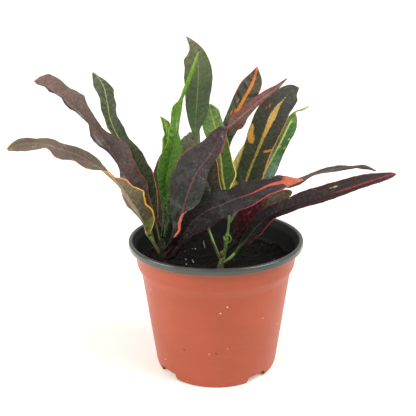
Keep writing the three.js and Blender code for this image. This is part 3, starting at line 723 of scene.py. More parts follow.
pattern.links.new(grain(pattern, 1.0, 5, 0.6, laid_out(0.07, slanted, 0.3)), result["Streaks"])
pattern.links.new(grain(pattern, 1.0, 5, 0.6, laid_out(0.2, slanted, 0.75)), result["Fray"])
# Pale flecks stretched along the leaf: partly real dust, partly a painted sheen of light grey streaks.
grains = put(pattern, "ShaderNodeTexVoronoi", {"Vector": laid_out(1.3, travel, 0.3), "Scale": 1.0}).outputs
fleck = fall(pattern, grains["Distance"], 0.1, 0.34)
pattern.links.new(times(pattern, fleck, calc(pattern, "GREATER_THAN", grains["Color"], 0.74)), result["Dust and sheen"])

blotch, given, result = group(
    "Blotch", {"Along": 0.0, "Across": 0.0, "Half length": 5.0, "Half width": 1.0}, ("Mask",)
)
across = fact(blotch, "across")
slant = calc(blotch, "SUBTRACT", calc(blotch, "ABSOLUTE", across), calc(blotch, "ABSOLUTE", given["Across"]))
travel = calc(blotch, "MULTIPLY_ADD", slant, -VEIN_SLANT, fact(blotch, "travelled"))
far = calc(blotch, "DIVIDE", calc(blotch, "SUBTRACT", travel, given["Along"]), given["Half length"])
wide = calc(blotch, "DIVIDE", calc(blotch, "SUBTRACT", across, given["Across"]), given["Half width"])
away = calc(blotch, "SQRT", calc(blotch, "MULTIPLY_ADD", far, far, times(blotch, wide, wide)))
ragged = calc(blotch, "SUBTRACT", grain(blotch, 420, 4, 0.6), 0.5)
edge = calc(blotch, "MULTIPLY_ADD", ragged, 1.2, away)
blotch.links.new(fall(blotch, edge, 0.85, 1.08), result["Mask"])


def stops(tree, place, values):
    """A colour or a size that changes along the leaf, given at shares of its length."""
    made = put(tree, "ShaderNodeValToRGB", {"Fac": place})
    points = made.color_ramp.elements
    while len(points) < len(values):
        points.new(0.5)
    for point, share in zip(points, values):
        point.position = share
    for point, value in zip(points, values.values()):
        point.color = paint(value) if isinstance(value, str) else (value / 10, value / 10, value / 10, 1)
    if isinstance(value, str):
        return made.outputs[0]
    return times(tree, made.outputs[0], 10.0)


def leaf_skin(
    name, length, seed, upper, under, rib, keel, left, right, blotches=(), patch=None, vein=("#a8a080", 0.08),
    gloss=0.4, fray=0.5, dust=0.12, depth=0.62, shine=0.25, pucker=0.5, mottle=1.0, specular=0.24,
    glow=0.62, rib_glow=0.62,
):
    """A leaf's material. Colours and widths go by shares of the length, and blotches have rows of a share of
    the length, millimetres across, half-length, half-width and colour."""
    material, tree, shader = surface(name, gloss, coat_roughness=0.17, specular=specular)
    along = fact(tree, "along")
    distance = calc(tree, "ABSOLUTE", fact(tree, "across"))
    underside = fact(tree, "underside")
    blade = fact(tree, "blade")
    lines = put(tree, "ShaderNodeGroup", {"Seed": seed}, node_tree=pattern).outputs
    speckle = grain(tree, 420, 5, 0.65)
    shifted = calc(tree, "MULTIPLY_ADD", calc(tree, "SUBTRACT", lines["Streaks"], 0.5), 0.12, along)
    uneven = calc(tree, "SUBTRACT", lines["Fray"], 0.5)

    top = stops(tree, shifted, upper)
    if patch:
        top = blend(tree, times(tree, rise(tree, lines["Streaks"], 0.46, 0.62), patch[1]), top, patch[0])
    top = blend(tree, times(tree, lines["Veins"], vein[1]), top, vein[0])
    rib_edge = calc(tree, "MULTIPLY_ADD", uneven, 2 * fray, distance)
    on_rib = fall(tree, calc(tree, "SUBTRACT", rib_edge, stops(tree, along, rib[1])), -0.2, 0.25)
    top = blend(tree, on_rib, top, stops(tree, along, rib[0]))
    for share, *sizes, code in blotches:
        spot = dict(zip(("Along", "Across", "Half length", "Half width"), (share * length, *sizes)))
        top = blend(tree, put(tree, "ShaderNodeGroup", spot, node_tree=blotch).outputs["Mask"], top, code)

    low = blend(tree, times(tree, lines["Veins"], 0.5), stops(tree, shifted, under), keel[0])
    off_keel = calc(tree, "SUBTRACT", distance, stops(tree, along, keel[1]))
    low = blend(tree, fall(tree, off_keel, -0.2, 0.6), low, keel[0])
    colour = blend(tree, rise(tree, underside, 0.3, 0.7), top, low)

    facing = calc(tree, "SUBTRACT", 1.0, underside)
    bright = times(tree, times(tree, on_rib, facing), rib_glow)
    margin_edge = calc(tree, "MULTIPLY_ADD", uneven, 0.9, fact(tree, "margin"))
    for side, (codes, widths) in (("LESS_THAN", left), ("GREATER_THAN", right)):
        width = times(tree, stops(tree, along, widths), blade)
        near = fall(tree, calc(tree, "SUBTRACT", margin_edge, width), -0.2, 0.2)
        near = times(tree, near, calc(tree, side, fact(tree, "across"), 0.0))
        near = times(tree, near, rise(tree, blade, 0.1, 0.5))
        colour = blend(tree, near, colour, stops(tree, along, codes))
        bright = calc(tree, "MAXIMUM", bright, times(tree, near, glow))
    shade = calc(tree, "MULTIPLY_ADD", grain(tree, 1100, 3, 0.6), 0.8 * mottle, depth - 0.85 * mottle)
    shade = calc(tree, "MULTIPLY_ADD", speckle, 0.9 * mottle, shade)
    colour = blend(tree, 1.0, colour, calc(tree, "MAXIMUM", shade, bright), "MULTIPLY")
    # Pale flecks over the colour: partly dust, partly a painted sheen.
    colour = blend(tree, times(tree, lines["Dust and sheen"], dust), colour, "#c9c2b4")

    duller = calc(tree, "MULTIPLY_ADD", underside, 0.15, gloss - 0.06)
    tree.links.new(calc(tree, "MULTIPLY_ADD", grain(tree, 75, 4, 0.6), 0.14, duller), shader["Roughness"])
    glossy = rise(tree, grain(tree, 60, 4, 0.65), 0.48, 0.64)
    tree.links.new(times(tree, glossy, shine), shader["Coat Weight"])
    relief = calc(tree, "MULTIPLY_ADD", speckle, 0.8, lines["Veins"])
    fine = bumped(tree, calc(tree, "MULTIPLY_ADD", lines["Web"], 0.25, relief), 0.35, 0.0003)
    coloured(tree, shader, colour, bumped(tree, grain(tree, 230), pucker, 0.002, Normal=fine))
    return material


def grow(
    node, slot, sections, edges=None, fold=10, ripple=1, waves=3, quilt=0.22, frill=0.35, across=None, **looks
):
    """One leaf, grown and painted, in the place of its solid."""
    leaf, length = leaf_blade(node + "_blade", sections, edges, fold, ripple, waves, quilt, frill, across)
    leaf.data.materials.append(leaf_skin(node + "_skin", length, len(bpy.data.materials) * 3.7, **looks))
    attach(leaf, "root")
    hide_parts(node)


# Lowest leaf on the left. It twists half way: its near half shows the olive underside, with a broad tan rib
# and a bright orange-yellow margin, and its far half the purple-brown face.
grow(
    "leaf_far_left", "leaf_purple",
    sections=[(-47, -11, 106, 205), (-54, -15, 119, 207), (-59, -20, 131, 210), (-61, -23, 139, 213),
        (-63, -25, 144, 213), (-66, -27, 151, 213), (-72, -30, 163, 213), (-75, -31, 169, 216),
        (-80, -33, 177, 230), (-87, -35, 185, 268), (-95, -35, 192, 315), (-104, -35, 198, 340),
        (-114, -34, 203, 345), (-125, -32, 206, 345), (-135, -30, 209, 342), (-146, -28, 210, 345),
        (-158, -26, 209, 345), (-169, -24, 205, 345)],
    edges=[(0, 1.5, 1.5), (0.08, 1.4, 1.4), (0.12, 1.1, 1.2), (0.15, 3, 2.4), (0.18, 7.5, 6),
        (0.22, 11.5, 8.6), (0.26, 12.8, 10.6), (0.3, 10.2, 11.2), (0.34, 14.5, 11.4), (0.37, 18, 12.4),
        (0.4, 12.5, 11.2), (0.44, 11, 10), (0.48, 4, 8), (0.5, 4, 6.5), (0.55, 6.5, 5.2), (0.6, 7.8, 6.4),
        (0.63, 7.5, 7.2), (0.66, 6.2, 7), (0.71, 9, 6), (0.75, 8.5, 5.8), (0.78, 5, 6.6), (0.81, 3.3, 6),
        (0.85, 6, 4), (0.9, 8, 5), (0.94, 7.2, 4.8), (0.97, 5, 3.5), (1, 2.5, 1)],
    fold=30, ripple=2.2, waves=4.5, frill=0.6,
    upper={0: "#52732f", 0.2: "#636244", 0.5: "#7c7561", 0.62: "#72625a", 0.85: "#856f63", 0.96: "#786a50",
        1: "#98703c"},
    under={0: "#687c32", 0.2: "#657531", 0.25: "#554b2e", 0.36: "#6e6245", 0.5: "#9e8a6a"},
    rib=({0: "#6f8a40", 0.5: "#9a6f62", 1: "#96705f"}, {0: 1, 0.6: 0.5, 1: 0.2}),
    keel=("#b0a084", {0.2: 0.6, 0.3: 2, 0.5: 1.8, 1: 0.4}),
    left=({0.2: "#d8902c", 0.3: "#f0b840", 0.38: "#f4c052", 0.45: "#e88a50", 0.5: "#f4a462",
        0.62: "#cf8c58", 0.8: "#ae8262"},
        {0.2: 0.9, 0.35: 1.2, 0.5: 1, 0.6: 0.7, 0.9: 0.25}),
    right=({0.2: "#c08850", 0.35: "#e09048", 0.5: "#e8964c", 0.56: "#5c6444", 0.8: "#6a6a50"},
        {0.2: 1.6, 0.5: 1.4, 0.56: 0.8, 0.8: 0.5}),
    vein=("#8a7a62", 0.15), patch=("#6b6c48", 0.35), mottle=0.9, glow=0.95,
)

# Long purple leaf above it, deepest in colour near its base, with a red right margin there. A light grey
# blotch on it is a painted highlight, and its dark left margin widens at the bumps into painted shade where
# the margin rolls.
grow(
    "leaf_left", "leaf_purple",
    sections=[(-47, -11, 104, -20), (-53, -9, 113, -22), (-58, -4, 130, -25), (-61, -1, 145, -28),
        (-68, 0, 158, -30), (-77, 2, 173, -30), (-84, 4, 186, -30), (-91, 5, 197, -30), (-99, 6, 210, -25),
        (-109, 7, 222, -28), (-118, 8, 231, -30), (-124, 8, 237, -30), (-131, 9, 243, -30),
        (-138, 9, 249, -28), (-145, 9, 253, -25), (-152, 9, 256, -15)],
    edges=[(0, 1.5, 1.5), (0.06, 1.4, 1.4), (0.12, 1.2, 1.2), (0.16, 1.8, 1.8), (0.2, 4, 3.5), (0.24, 6, 5),
        (0.28, 7, 7), (0.31, 7.5, 11), (0.34, 8, 15), (0.38, 7.8, 13.3), (0.42, 6, 12), (0.45, 3, 11.6),
        (0.48, 2.1, 13), (0.52, 3.1, 15.6), (0.56, 5, 14.5), (0.59, 8.5, 11.5), (0.62, 9.8, 7.6),
        (0.65, 9, 6), (0.68, 4.5, 6), (0.7, 1.5, 6.6), (0.74, 2.1, 8.4), (0.78, 2.8, 11.8),
        (0.8, 5.3, 14.5), (0.83, 4.8, 13.4), (0.86, 1.2, 11.3), (0.89, 2, 10.8), (0.92, 4, 11),
        (0.95, 1.6, 10.2), (0.98, 2.6, 5.2), (1, 1, 0.6)],
    fold=28, ripple=2.4, waves=4, frill=1,
    upper={0: "#775f21", 0.2: "#652718", 0.3: "#54453e", 0.45: "#6b5855", 0.55: "#5b4b48", 0.7: "#705d56",
        0.85: "#846a62", 1: "#9a7b73"},
    under={0: "#5a6434", 0.3: "#6a5a4e", 1: "#8a7064"},
    rib=({0: "#6a7a3c", 0.4: "#54413f", 1: "#9a8074"}, {0: 0.9, 0.5: 0.4, 1: 0.3}),
    keel=("#a08a74", {0: 1, 1: 0.4}),
    # Left margin: the leaf's own dark edge, widened at the bumps into painted shade of the rolled margin.
    left=({0.2: "#3e2426", 0.5: "#45323a", 0.6: "#4a3a3e", 1: "#55444a"},
        {0: 0.6, 0.46: 0.8, 0.52: 2, 0.58: 3, 0.64: 2.6, 0.69: 0.6, 0.75: 0.7, 0.8: 2.4, 0.85: 1.8,
            0.88: 0.6, 0.92: 2, 0.96: 0.8}),
    right=({0.2: "#8f342c", 0.5: "#a3463e", 0.56: "#7a5650", 1: "#8a625c"}, {0.2: 1, 0.5: 0.6, 0.6: 0.2}),
    # The first, light grey blotch is a painted highlight.
    blotches=[(0.6, -5.2, 9, 1.2, "#8f827a"), (0.86, -3.5, 5, 2, "#8a6558")],
    patch=("#705c48", 0.3), pucker=1, shine=0.5, mottle=0.9, vein=("#a08c7c", 0.16),
)

# Dark green leaf with a yellow rib, red where its margins turn to the light.
grow(
    "leaf_left_green", "leaf_green",
    sections=[(-47, -11, 110, 0), (-49.5, -5.5, 118, 0), (-53, 0, 133, 0), (-57, 5, 149, 0),
        (-63, 9, 167, 0), (-72, 14, 186, 0), (-83, 19, 202, 0), (-89, 22, 212, 5), (-93, 25, 223, 5),
        (-95, 28, 235, 0), (-98, 32, 248, 0), (-103, 35, 256, 0), (-108, 37, 260, 0)],
    edges=[(0, 1.5, 1.5), (0.1, 1.1, 1.1), (0.14, 1.2, 1.2), (0.18, 2.6, 3.5), (0.24, 6, 6.5),
        (0.3, 7.4, 8.7), (0.36, 8, 10.3), (0.4, 8.4, 12), (0.44, 8.8, 11), (0.5, 9, 11.2), (0.54, 8.9, 10),
        (0.6, 8.2, 7.5), (0.62, 7, 7.8), (0.66, 4.6, 9.6), (0.7, 5.6, 9.5), (0.74, 5, 7.6), (0.78, 6, 7.4),
        (0.8, 6.2, 8.2), (0.84, 5.6, 7), (0.88, 7, 8.3), (0.9, 8.3, 6.3), (0.93, 8.6, 3.8), (0.96, 7, 1.2),
        (0.98, 4.5, 0.8), (1, 0.8, 0.6)],
    fold=14, ripple=1.6, waves=4, frill=0.8,
    upper={0: "#303f1d", 0.3: "#2d3c1f", 0.5: "#555d39", 0.7: "#535f45", 0.9: "#576a47", 1: "#6c644c"},
    under={0: "#4a5a30", 1: "#6d7a52"},
    rib=({0: "#848648", 0.5: "#90924e", 0.75: "#b4b668", 0.95: "#c4c478", 1: "#a09a6c"},
        {0: 0.5, 0.5: 0.42, 0.8: 0.42, 1: 0.25}),
    keel=("#a8ab70", {0: 1, 1: 0.4}),
    left=({0.5: "#4a4a34", 0.58: "#d0503c", 0.64: "#c84a3c", 0.7: "#d8903c", 0.8: "#5a644a"},
        {0.5: 0.2, 0.62: 0.9, 0.72: 0.6, 0.8: 0.2}),
    right=({0.2: "#d0803a", 0.42: "#d48a4a", 0.5: "#4a4a34"}, {0.2: 0.8, 0.42: 0.6, 0.5: 0.2}),
    patch=("#4a563a", 0.4), pucker=0.9,
)

# Leaf behind the young growth: its purple left edge shows beside it, and its end rolls over to the front.
grow(
    "leaf_rolled", "leaf_purple",
    sections=[(-46, -10, 115, 1.4, 1.4), (-45, -5, 125, 1.3, 1.3), (-46, 3, 136, 6, 6),
        (-48, 12, 150, 9.5, 9.5), (-45, 17, 168, 11.5, 9.5), (-38, 19, 183, 13, 10),
        (-28.7, 20, 193.6, 11.5, 11), (-23.7, 20, 199.9, 8.5, 12), (-20.5, 19, 205.4, 7, 8),
        (-19, 16, 209.5, 5, 5.5), (-18.5, 12.5, 211.2, 4.5, 5), (-19.2, 9, 208.6, 4, 4),
        (-19.7, 9, 205.1, 1, 1)],
    across=[1, 0.2, 0.2], fold=4,
    upper={0: "#2a2817", 0.22: "#332b22", 0.42: "#736254", 0.72: "#696950", 0.8: "#c8cab0", 1: "#dfe4cc"},
    under={0: "#4a4a30", 0.7: "#6e685a", 1: "#7a766a"},
    rib=({0: "#6a6a44", 0.8: "#8a8270"}, {0: 0.8, 0.75: 0.3, 0.8: 0.05}),
    keel=("#8a8270", {0: 1, 1: 0.4}),
    left=({0.3: "#c04a3c", 0.7: "#b0584c", 0.78: "#6a5a4c"}, {0.3: 0.7, 0.72: 0.5, 0.78: 0.1}),
    right=({0.3: "#c04a3c", 0.7: "#8a4a44", 0.78: "#6a5a4c"}, {0.3: 0.7, 0.72: 0.5, 0.78: 0.1}),
    patch=("#4c5036", 0.4),
)

# Two young leaves in the middle: fresh bright green, soft and crinkled, with pale edges. Their bright
# yellow-green is partly their own colour and partly painted light shining through them.
YOUNG = dict(
    slot="leaf_young", fold=18, ripple=1.4,
    # Upper: the bright yellow-green is partly own colour, partly painted light shining through.
    upper={0: "#2b360b", 0.15: "#354510", 0.25: "#385a10", 0.45: "#447407", 0.65: "#62930b", 0.9: "#7fac1a",
        1: "#a2b649"},
    under={0: "#3a5420", 0.5: "#5a8a34", 1: "#84b05a"},
    rib=({0: "#4a5a20", 0.25: "#4a6a1c", 1: "#84b83c"}, {0: 0.45, 0.6: 0.3, 1: 0.2}),
    keel=("#93bd66", {0: 0.9, 1: 0.3}),
    left=({0.2: "#4a6a24", 0.5: "#86b050", 1: "#b4d08a"}, {0.2: 0.1, 0.5: 0.3, 1: 0.35}),
    right=({0.2: "#4a6a24", 0.5: "#74a040", 1: "#b4d08a"}, {0.2: 0.1, 0.5: 0.25, 1: 0.3}),
    patch=("#2c5a04", 0.4), vein=("#84b848", 0.25), gloss=0.24, shine=0.8, pucker=1.5,
)
grow(
    "leaf_young_long",
    sections=[(-46, -11, 119, 0), (-42.9, -14, 127.4, 0), (-39.8, -18, 141, 0), (-39.6, -22, 156.5, 0),
        (-40.4, -25, 169, 0), (-39.4, -27, 183, 0), (-36.5, -26, 194.6, 0), (-33.6, -24, 207.2, 0),
        (-31.7, -21, 218.7, 5), (-31.9, -18, 229.3, 0), (-29.9, -16, 239.1, -15), (-25, -14, 248, -40),
        (-20, -12, 259, -20), (-16, -10, 269, 0), (-13, -9, 280, 0)],
    edges=[(0, 1.4, 1.4), (0.1, 1.1, 1.1), (0.2, 1.5, 1.4), (0.24, 2.4, 1.8), (0.28, 4.3, 4),
        (0.32, 6.5, 5), (0.36, 7.2, 6), (0.4, 9, 7), (0.45, 9.6, 8), (0.48, 9, 8.4), (0.51, 7.4, 8.8),
        (0.54, 6.1, 7.4), (0.57, 5.9, 4.9), (0.6, 5.8, 2.2), (0.62, 5.6, 2.4), (0.66, 4.4, 3.9),
        (0.7, 4.3, 4.3), (0.72, 4.2, 3.9), (0.745, 1.2, 3.2), (0.77, 1, 1.8), (0.8, 2, 1.1), (0.85, 2.5, 1),
        (0.92, 2.4, 0.8), (0.97, 1.8, 0.7), (1, 0.5, 0.5)],
    waves=4, quilt=0.6, frill=1.1,
    **YOUNG,
)
grow(
    "leaf_young_side",
    sections=[(-48, -12, 119), (-46.4, -13, 127.6), (-44.7, -13, 140.4), (-44.1, -13, 154.4),
        (-45.3, -13, 168.1), (-44.2, -14, 180.5), (-43.2, -14, 192.8), (-41.1, -14, 203.3),
        (-40.9, -14, 211.9), (-41.8, -15, 220.5), (-44.6, -16, 228.9)],
    edges=[(0, 1.3, 1.3), (0.2, 1.1, 1.1), (0.3, 2, 2), (0.4, 3, 4), (0.5, 2.5, 5.5), (0.6, 2.6, 6.4),
        (0.7, 2.8, 6.2), (0.8, 3.4, 6), (0.83, 3.3, 6), (0.86, 1, 6), (0.92, 1.6, 6), (0.95, 0.8, 5),
        (0.97, 0.6, 3), (1, 0.5, 0.6)],
    waves=3.5, quilt=0.55, frill=1.2,
    **YOUNG,
)

# Upright grey-green leaf, the plant's highest, with a pale rib and a brown tinge towards its tip.
grow(
    "leaf_tall", "leaf_green",
    sections=[(12, -12, 140, 1.5, 1.5), (5, -9, 146, 1.4, 1.4), (-3, -5, 157, 1.4, 1.4),
        (-9, -2, 173, 1.4, 1.4), (-13, 1, 188, 1.4, 1.4), (-16, 4, 203, 1.5, 1.5), (-17, 5, 212, 3, 3.4),
        (-17, 6, 221, 6, 7), (-16, 7, 231, 9, 10), (-15, 8, 243, 10.5, 11), (-14, 8, 256, 12, 12),
        (-14, 7, 267, 11.5, 11), (-15, 5, 276, 11, 8), (-18, 3, 283, 3.5, 5), (-23, 1, 291, 0.5, 0.5)],
    ripple=0.8,
    upper={0: "#4a6a2d", 0.06: "#423f30", 0.3: "#454334", 0.38: "#5c6a48", 0.45: "#66864d", 0.6: "#526942",
        0.72: "#50633c", 0.85: "#708457", 1: "#98917b"},
    under={0: "#5f7a3c", 0.6: "#6a7a50", 1: "#8a8a68"},
    rib=({0: "#4a4836", 0.3: "#4c4c3a", 0.45: "#6f8256", 0.6: "#6f8256", 0.8: "#93a56c", 1: "#8f9a6a"},
        {0: 0.7, 0.6: 0.5, 1: 0.3}),
    keel=("#a0ac74", {0: 1.1, 1: 0.4}),
    left=({0.5: "#5a6444", 0.84: "#a4703c", 0.92: "#c89050", 1: "#8a5a3c"},
        {0.5: 0.2, 0.85: 0.3, 0.93: 0.6}),
    right=({0.5: "#5a5a40", 0.85: "#8a6444", 1: "#8a5a40"}, {0.5: 0.2, 1: 0.35}),
    blotches=[(0.94, 4.5, 2.2, 0.8, "#a8683a"), (0.89, -8.5, 2.5, 0.9, "#b07a44")],
    patch=("#6a6650", 0.4), pucker=0.8, mottle=0.9, vein=("#8c9c6c", 0.3),
)

# Broad dark leaf across the middle. It twists half way, and its outer half shows the pink-brown underside.
# A curl of its coral margin stands out at its foot.
grow(
    "leaf_front", "leaf_dark",
    sections=[(-46, -13, 111, 0), (-41, -24, 119, 0), (-34, -36, 136, 0), (-27, -43, 157, 0),
        (-20, -46, 178, 0), (-15, -46, 189, 0), (-8, -43, 198, 4), (-2, -40, 205.5, 4),
        (2.5, -37, 213.5, 4), (8, -34, 221, 75), (18.5, -30, 229, 155), (31, -27, 239, 165),
        (41, -24, 247, 165), (50, -21, 254, 160), (57, -19, 259, 160)],
    edges=[(0, 1.6, 1.6), (0.06, 1.5, 1.4), (0.12, 1.4, 2.2), (0.17, 1.7, 2.9), (0.2, 2.4, 2.8),
        (0.24, 4.8, 2.4), (0.27, 8.6, 2.2), (0.3, 10.6, 2.8), (0.33, 12, 7.6), (0.36, 13.3, 10.8),
        (0.4, 16.4, 12), (0.43, 17.5, 11.5), (0.46, 17.3, 10.2), (0.49, 18.9, 8.5), (0.52, 17.2, 6.7),
        (0.56, 13.6, 6), (0.6, 10.8, 6.4), (0.63, 8.6, 6), (0.655, 7.6, 5), (0.68, 9, 7), (0.7, 16, 9),
        (0.74, 13.5, 6.5), (0.78, 5.5, 5.2), (0.84, 2.7, 5.4), (0.9, 2.5, 3.9), (0.95, 2.4, 1.3),
        (1, 0.5, 0.5)],
    fold=12, ripple=1.2,
    upper={0: "#1b3514", 0.2: "#102e10", 0.3: "#1b2f1b", 0.42: "#343631", 0.6: "#463939", 1: "#564140"},
    under={0: "#2c3a1c", 0.17: "#a85648", 0.22: "#e07868", 0.28: "#d07060", 0.31: "#6c4e40",
        0.36: "#66523f", 0.66: "#745840", 0.75: "#825c50", 0.9: "#875a5a", 0.96: "#7c3038", 1: "#70202a"},
    rib=({0.1: "#3c2a26", 0.3: "#6a3a3e", 0.4: "#7e464c", 0.65: "#6a4648"}, {0.1: 0.4, 0.5: 0.5, 0.7: 0.3}),
    keel=("#9a7c68", {0.2: 0.1, 0.3: 0.1, 0.36: 1, 1: 0.4}),
    left=({0.2: "#1c2a1a", 0.42: "#40302e", 0.5: "#a8443c", 0.53: "#a8443c", 0.6: "#5a4440",
        0.68: "#a83c44", 1: "#b03444"},
        {0.2: 0.3, 0.5: 0.6, 0.6: 0.3, 0.7: 0.6, 1: 0.6}),
    right=({0.08: "#a04438", 0.14: "#e87a66", 0.26: "#ee8068", 0.29: "#a85448", 0.33: "#54403a",
        0.54: "#5a3a38", 0.6: "#b04a50", 1: "#b03444"},
        {0.08: 0.6, 0.13: 2.6, 0.24: 2.4, 0.29: 1.1, 0.34: 0.3, 0.54: 0.3, 0.6: 0.8, 1: 0.7}),
    patch=("#4a3c40", 0.5), vein=("#6a6458", 0.18), dust=0.25, shine=0.5, pucker=0.9, mottle=1.4,
)

CURL = [(-25, -44.5, 156, 0.35), (-27.5, -45, 153.5, 0.55), (-28.8, -45, 149, 0.65), (-28.9, -44, 144, 0.75),
    (-29.8, -43, 140, 0.95), (-31.5, -42, 137, 0.95), (-33.6, -41, 134.3, 0.7), (-34.6, -40, 133, 0.25)]
coral = bark("coral_edge", "#c45a4c", "#a8403c", "#d87a66")
planted("leaf_front_curl", CURL, coral, "leaf_dark", sides=10)

# Near-black leaf that reaches forward and to the right, with a pink rib and an orange-red tip. Two grey
# blotches on its right half are a painted sheen.
grow(
    "leaf_front_low", "leaf_dark",
    sections=[(-47, -11, 103, 10), (-43, -19, 106, 10), (-38, -25, 112, 10), (-32, -29, 122, 10),
        (-21, -34, 142, 10), (-8, -39, 155, 10), (5, -46, 163, 10), (16, -50, 169, 12), (28, -53, 174, 14),
        (41, -55, 181, 18), (54, -55, 184, 20), (68, -53, 185, 20)],
    edges=[(0, 1.6, 1.6), (0.05, 1.5, 1.5), (0.08, 2.8, 2.4), (0.12, 4.3, 4.3), (0.16, 4.4, 4.4),
        (0.2, 5, 5), (0.25, 6, 5), (0.3, 7, 6.1), (0.34, 8, 9.2), (0.38, 9.5, 11.8), (0.44, 12, 13.4),
        (0.48, 13, 12.8), (0.54, 13.9, 10.7), (0.6, 11.5, 9.9), (0.64, 9.2, 9.9), (0.68, 10.6, 10),
        (0.72, 11, 9.3), (0.76, 10.1, 8.3), (0.8, 7.2, 7.5), (0.84, 4.7, 7.3), (0.88, 6.5, 6.8),
        (0.92, 4.4, 4.6), (0.96, 2, 2.4), (1, 0.6, 0.6)],
    fold=12, ripple=1.2,
    upper={0: "#382924", 0.2: "#261f1e", 0.4: "#1b1a1b", 0.6: "#221c1f", 0.85: "#3b302f", 0.895: "#4d3734",
        0.925: "#de7956", 1: "#e49068"},
    under={0: "#4a2a2a", 0.5: "#5a3034", 1: "#a05048"},
    rib=({0: "#4a3030", 0.35: "#4c3c3e", 0.66: "#6a484c", 0.76: "#b84c46", 0.86: "#e06a52", 1: "#e07a5c"},
        {0: 0.6, 0.6: 0.3, 0.72: 0.4, 0.84: 0.9, 0.92: 1.5}),
    keel=("#8a5050", {0: 1.1, 1: 0.4}),
    left=({0: "#8a2c30", 0.25: "#6a2830", 0.4: "#2c2628", 0.85: "#3a2c2e", 0.93: "#5a3a34"},
        {0: 0.6, 0.3: 0.4, 0.45: 0.15, 0.9: 0.3}),
    right=({0.1: "#5a2428", 0.4: "#7a2c34", 0.6: "#6a3038", 0.75: "#c04a48", 0.9: "#d0604c"},
        {0.1: 0.25, 0.42: 0.5, 0.6: 0.3, 0.75: 0.8, 0.9: 0.9}),
    # Grey blotches: a painted sheen.
    blotches=[(0.81, 3.6, 7, 1.3, "#3e4044"), (0.7, 4.6, 5, 0.7, "#34363a")],
    vein=("#5a4c4e", 0.14), shine=0.35, pucker=0.9, dust=0.15, mottle=1, specular=0.18,
)

# Thin purple-brown leaf that arches out to the right, nearly flat, seen from its edge.
grow(
    "leaf_right_arch", "leaf_purple",
    sections=[(12, -13, 136, 1.4, 1.4, 30), (17, -5, 142, 1.4, 1.4, 35), (24, 4, 148, 2.5, 2.5, 45),
        (33, 10, 154, 5.5, 5.5, 50), (45, 15, 159, 6.5, 6.5, 62), (57, 18, 162, 7, 7, 70),
        (72.4, 20, 163.8, 7.5, 7.5, 80), (85.9, 22, 169.2, 7.5, 7.5, 88), (100.3, 23, 173, 7, 7, 88),
        (114.7, 24, 175.5, 5.5, 5.5, 88), (127.2, 24, 176.4, 4, 4, 88), (135.9, 23, 176, 1.8, 1.8, 88),
        (144.2, 23, 172.8, 0.5, 0.5, 88)],
    fold=4,
    upper={0: "#4a4a2c", 0.3: "#3e2f2d", 0.6: "#564541", 1: "#5d4b49"},
    under={0: "#4a4a2c", 0.4: "#3c2c2b", 1: "#523a38"},
    rib=({0: "#6a6a44", 1: "#8f6a64"}, {0: 0.8, 1: 0.25}),
    keel=("#8a6a64", {0: 1, 1: 0.4}),
    left=({0: "#5a4644", 1: "#7a5652"}, {0: 0.2, 1: 0.2}),
    right=({0: "#5a3a38", 1: "#7a4a48"}, {0: 0.3, 1: 0.3}),
)

# Long maroon leaf to the far right on a green stalk, with a red rib and red margins and one yellow fleck. The
# near black at the foot of its blade is painted shade.
grow(
    "leaf_right_long", "leaf_dark",
    sections=[(5, -22, 102, 30), (13, -22, 108, 30), (20, -22, 116, 30), (27, -22, 125, 35),
        (36, -20, 136, 40), (48, -16, 145, 45), (64, -10, 150, 50), (82, -5, 154, 50), (98, -1, 158, 50),
        (115, 2, 162, 50), (131, 4, 167, 50), (144, 5, 171, 50), (157, 6, 174, 50)],
    edges=[(0, 1.3, 1.3), (0.08, 1.3, 1.3), (0.13, 2.6, 2.6), (0.16, 4, 4.2), (0.2, 5.1, 5.9),
        (0.25, 6.8, 8.6), (0.3, 7.8, 7.4), (0.34, 7.9, 6.1), (0.4, 7.3, 7.2), (0.46, 7.7, 6.5),
        (0.52, 10, 5.5), (0.6, 10.2, 6.4), (0.67, 10.3, 6.7), (0.74, 10.6, 5.9), (0.8, 9.7, 5.1),
        (0.86, 7.6, 4.9), (0.91, 5.5, 4.7), (0.95, 4, 3.9), (0.98, 2.9, 2.3), (1, 1, 0.6)],
    fold=12, ripple=0.8, waves=2.5,
    # Upper: the near black from 0.14 to 0.35 is painted shade at the foot of the blade.
    upper={0: "#7ca94f", 0.06: "#76a34b", 0.1: "#3c5d22", 0.14: "#1d2412", 0.2: "#141210", 0.35: "#161110",
        0.5: "#302220", 0.72: "#3f3330", 1: "#4c3e42"},
    under={0: "#8aba5a", 0.07: "#86b456", 0.11: "#4a5a2c", 0.2: "#3a1c20", 1: "#7a3a40"},
    rib=({0.1: "#4a5a2c", 0.3: "#3a2626", 0.62: "#4a3434", 0.75: "#a83c40", 1: "#b0484c"},
        {0.1: 0.6, 0.5: 0.2, 0.66: 0.3, 0.76: 0.7, 1: 0.6}),
    keel=("#8a4a4c", {0: 0, 0.12: 0.1, 0.2: 0.9, 1: 0.4}),
    left=({0.15: "#2c2020", 0.5: "#7a2c34", 0.7: "#c0404a", 1: "#c85a5c"},
        {0.15: 0.15, 0.45: 0.45, 0.75: 0.5}),
    right=({0.15: "#7a1c2c", 0.35: "#b03440", 0.5: "#8a3038", 1: "#b0484c"},
        {0.15: 0.5, 0.35: 0.9, 0.5: 0.4, 1: 0.5}),
    blotches=[(0.7, -5.2, 2.4, 0.9, "#d0b878"), (0.676, -5.2, 1.2, 0.7, "#a8945c")],
    vein=("#6a4a4a", 0.16), specular=0.12, mottle=1.3,
)

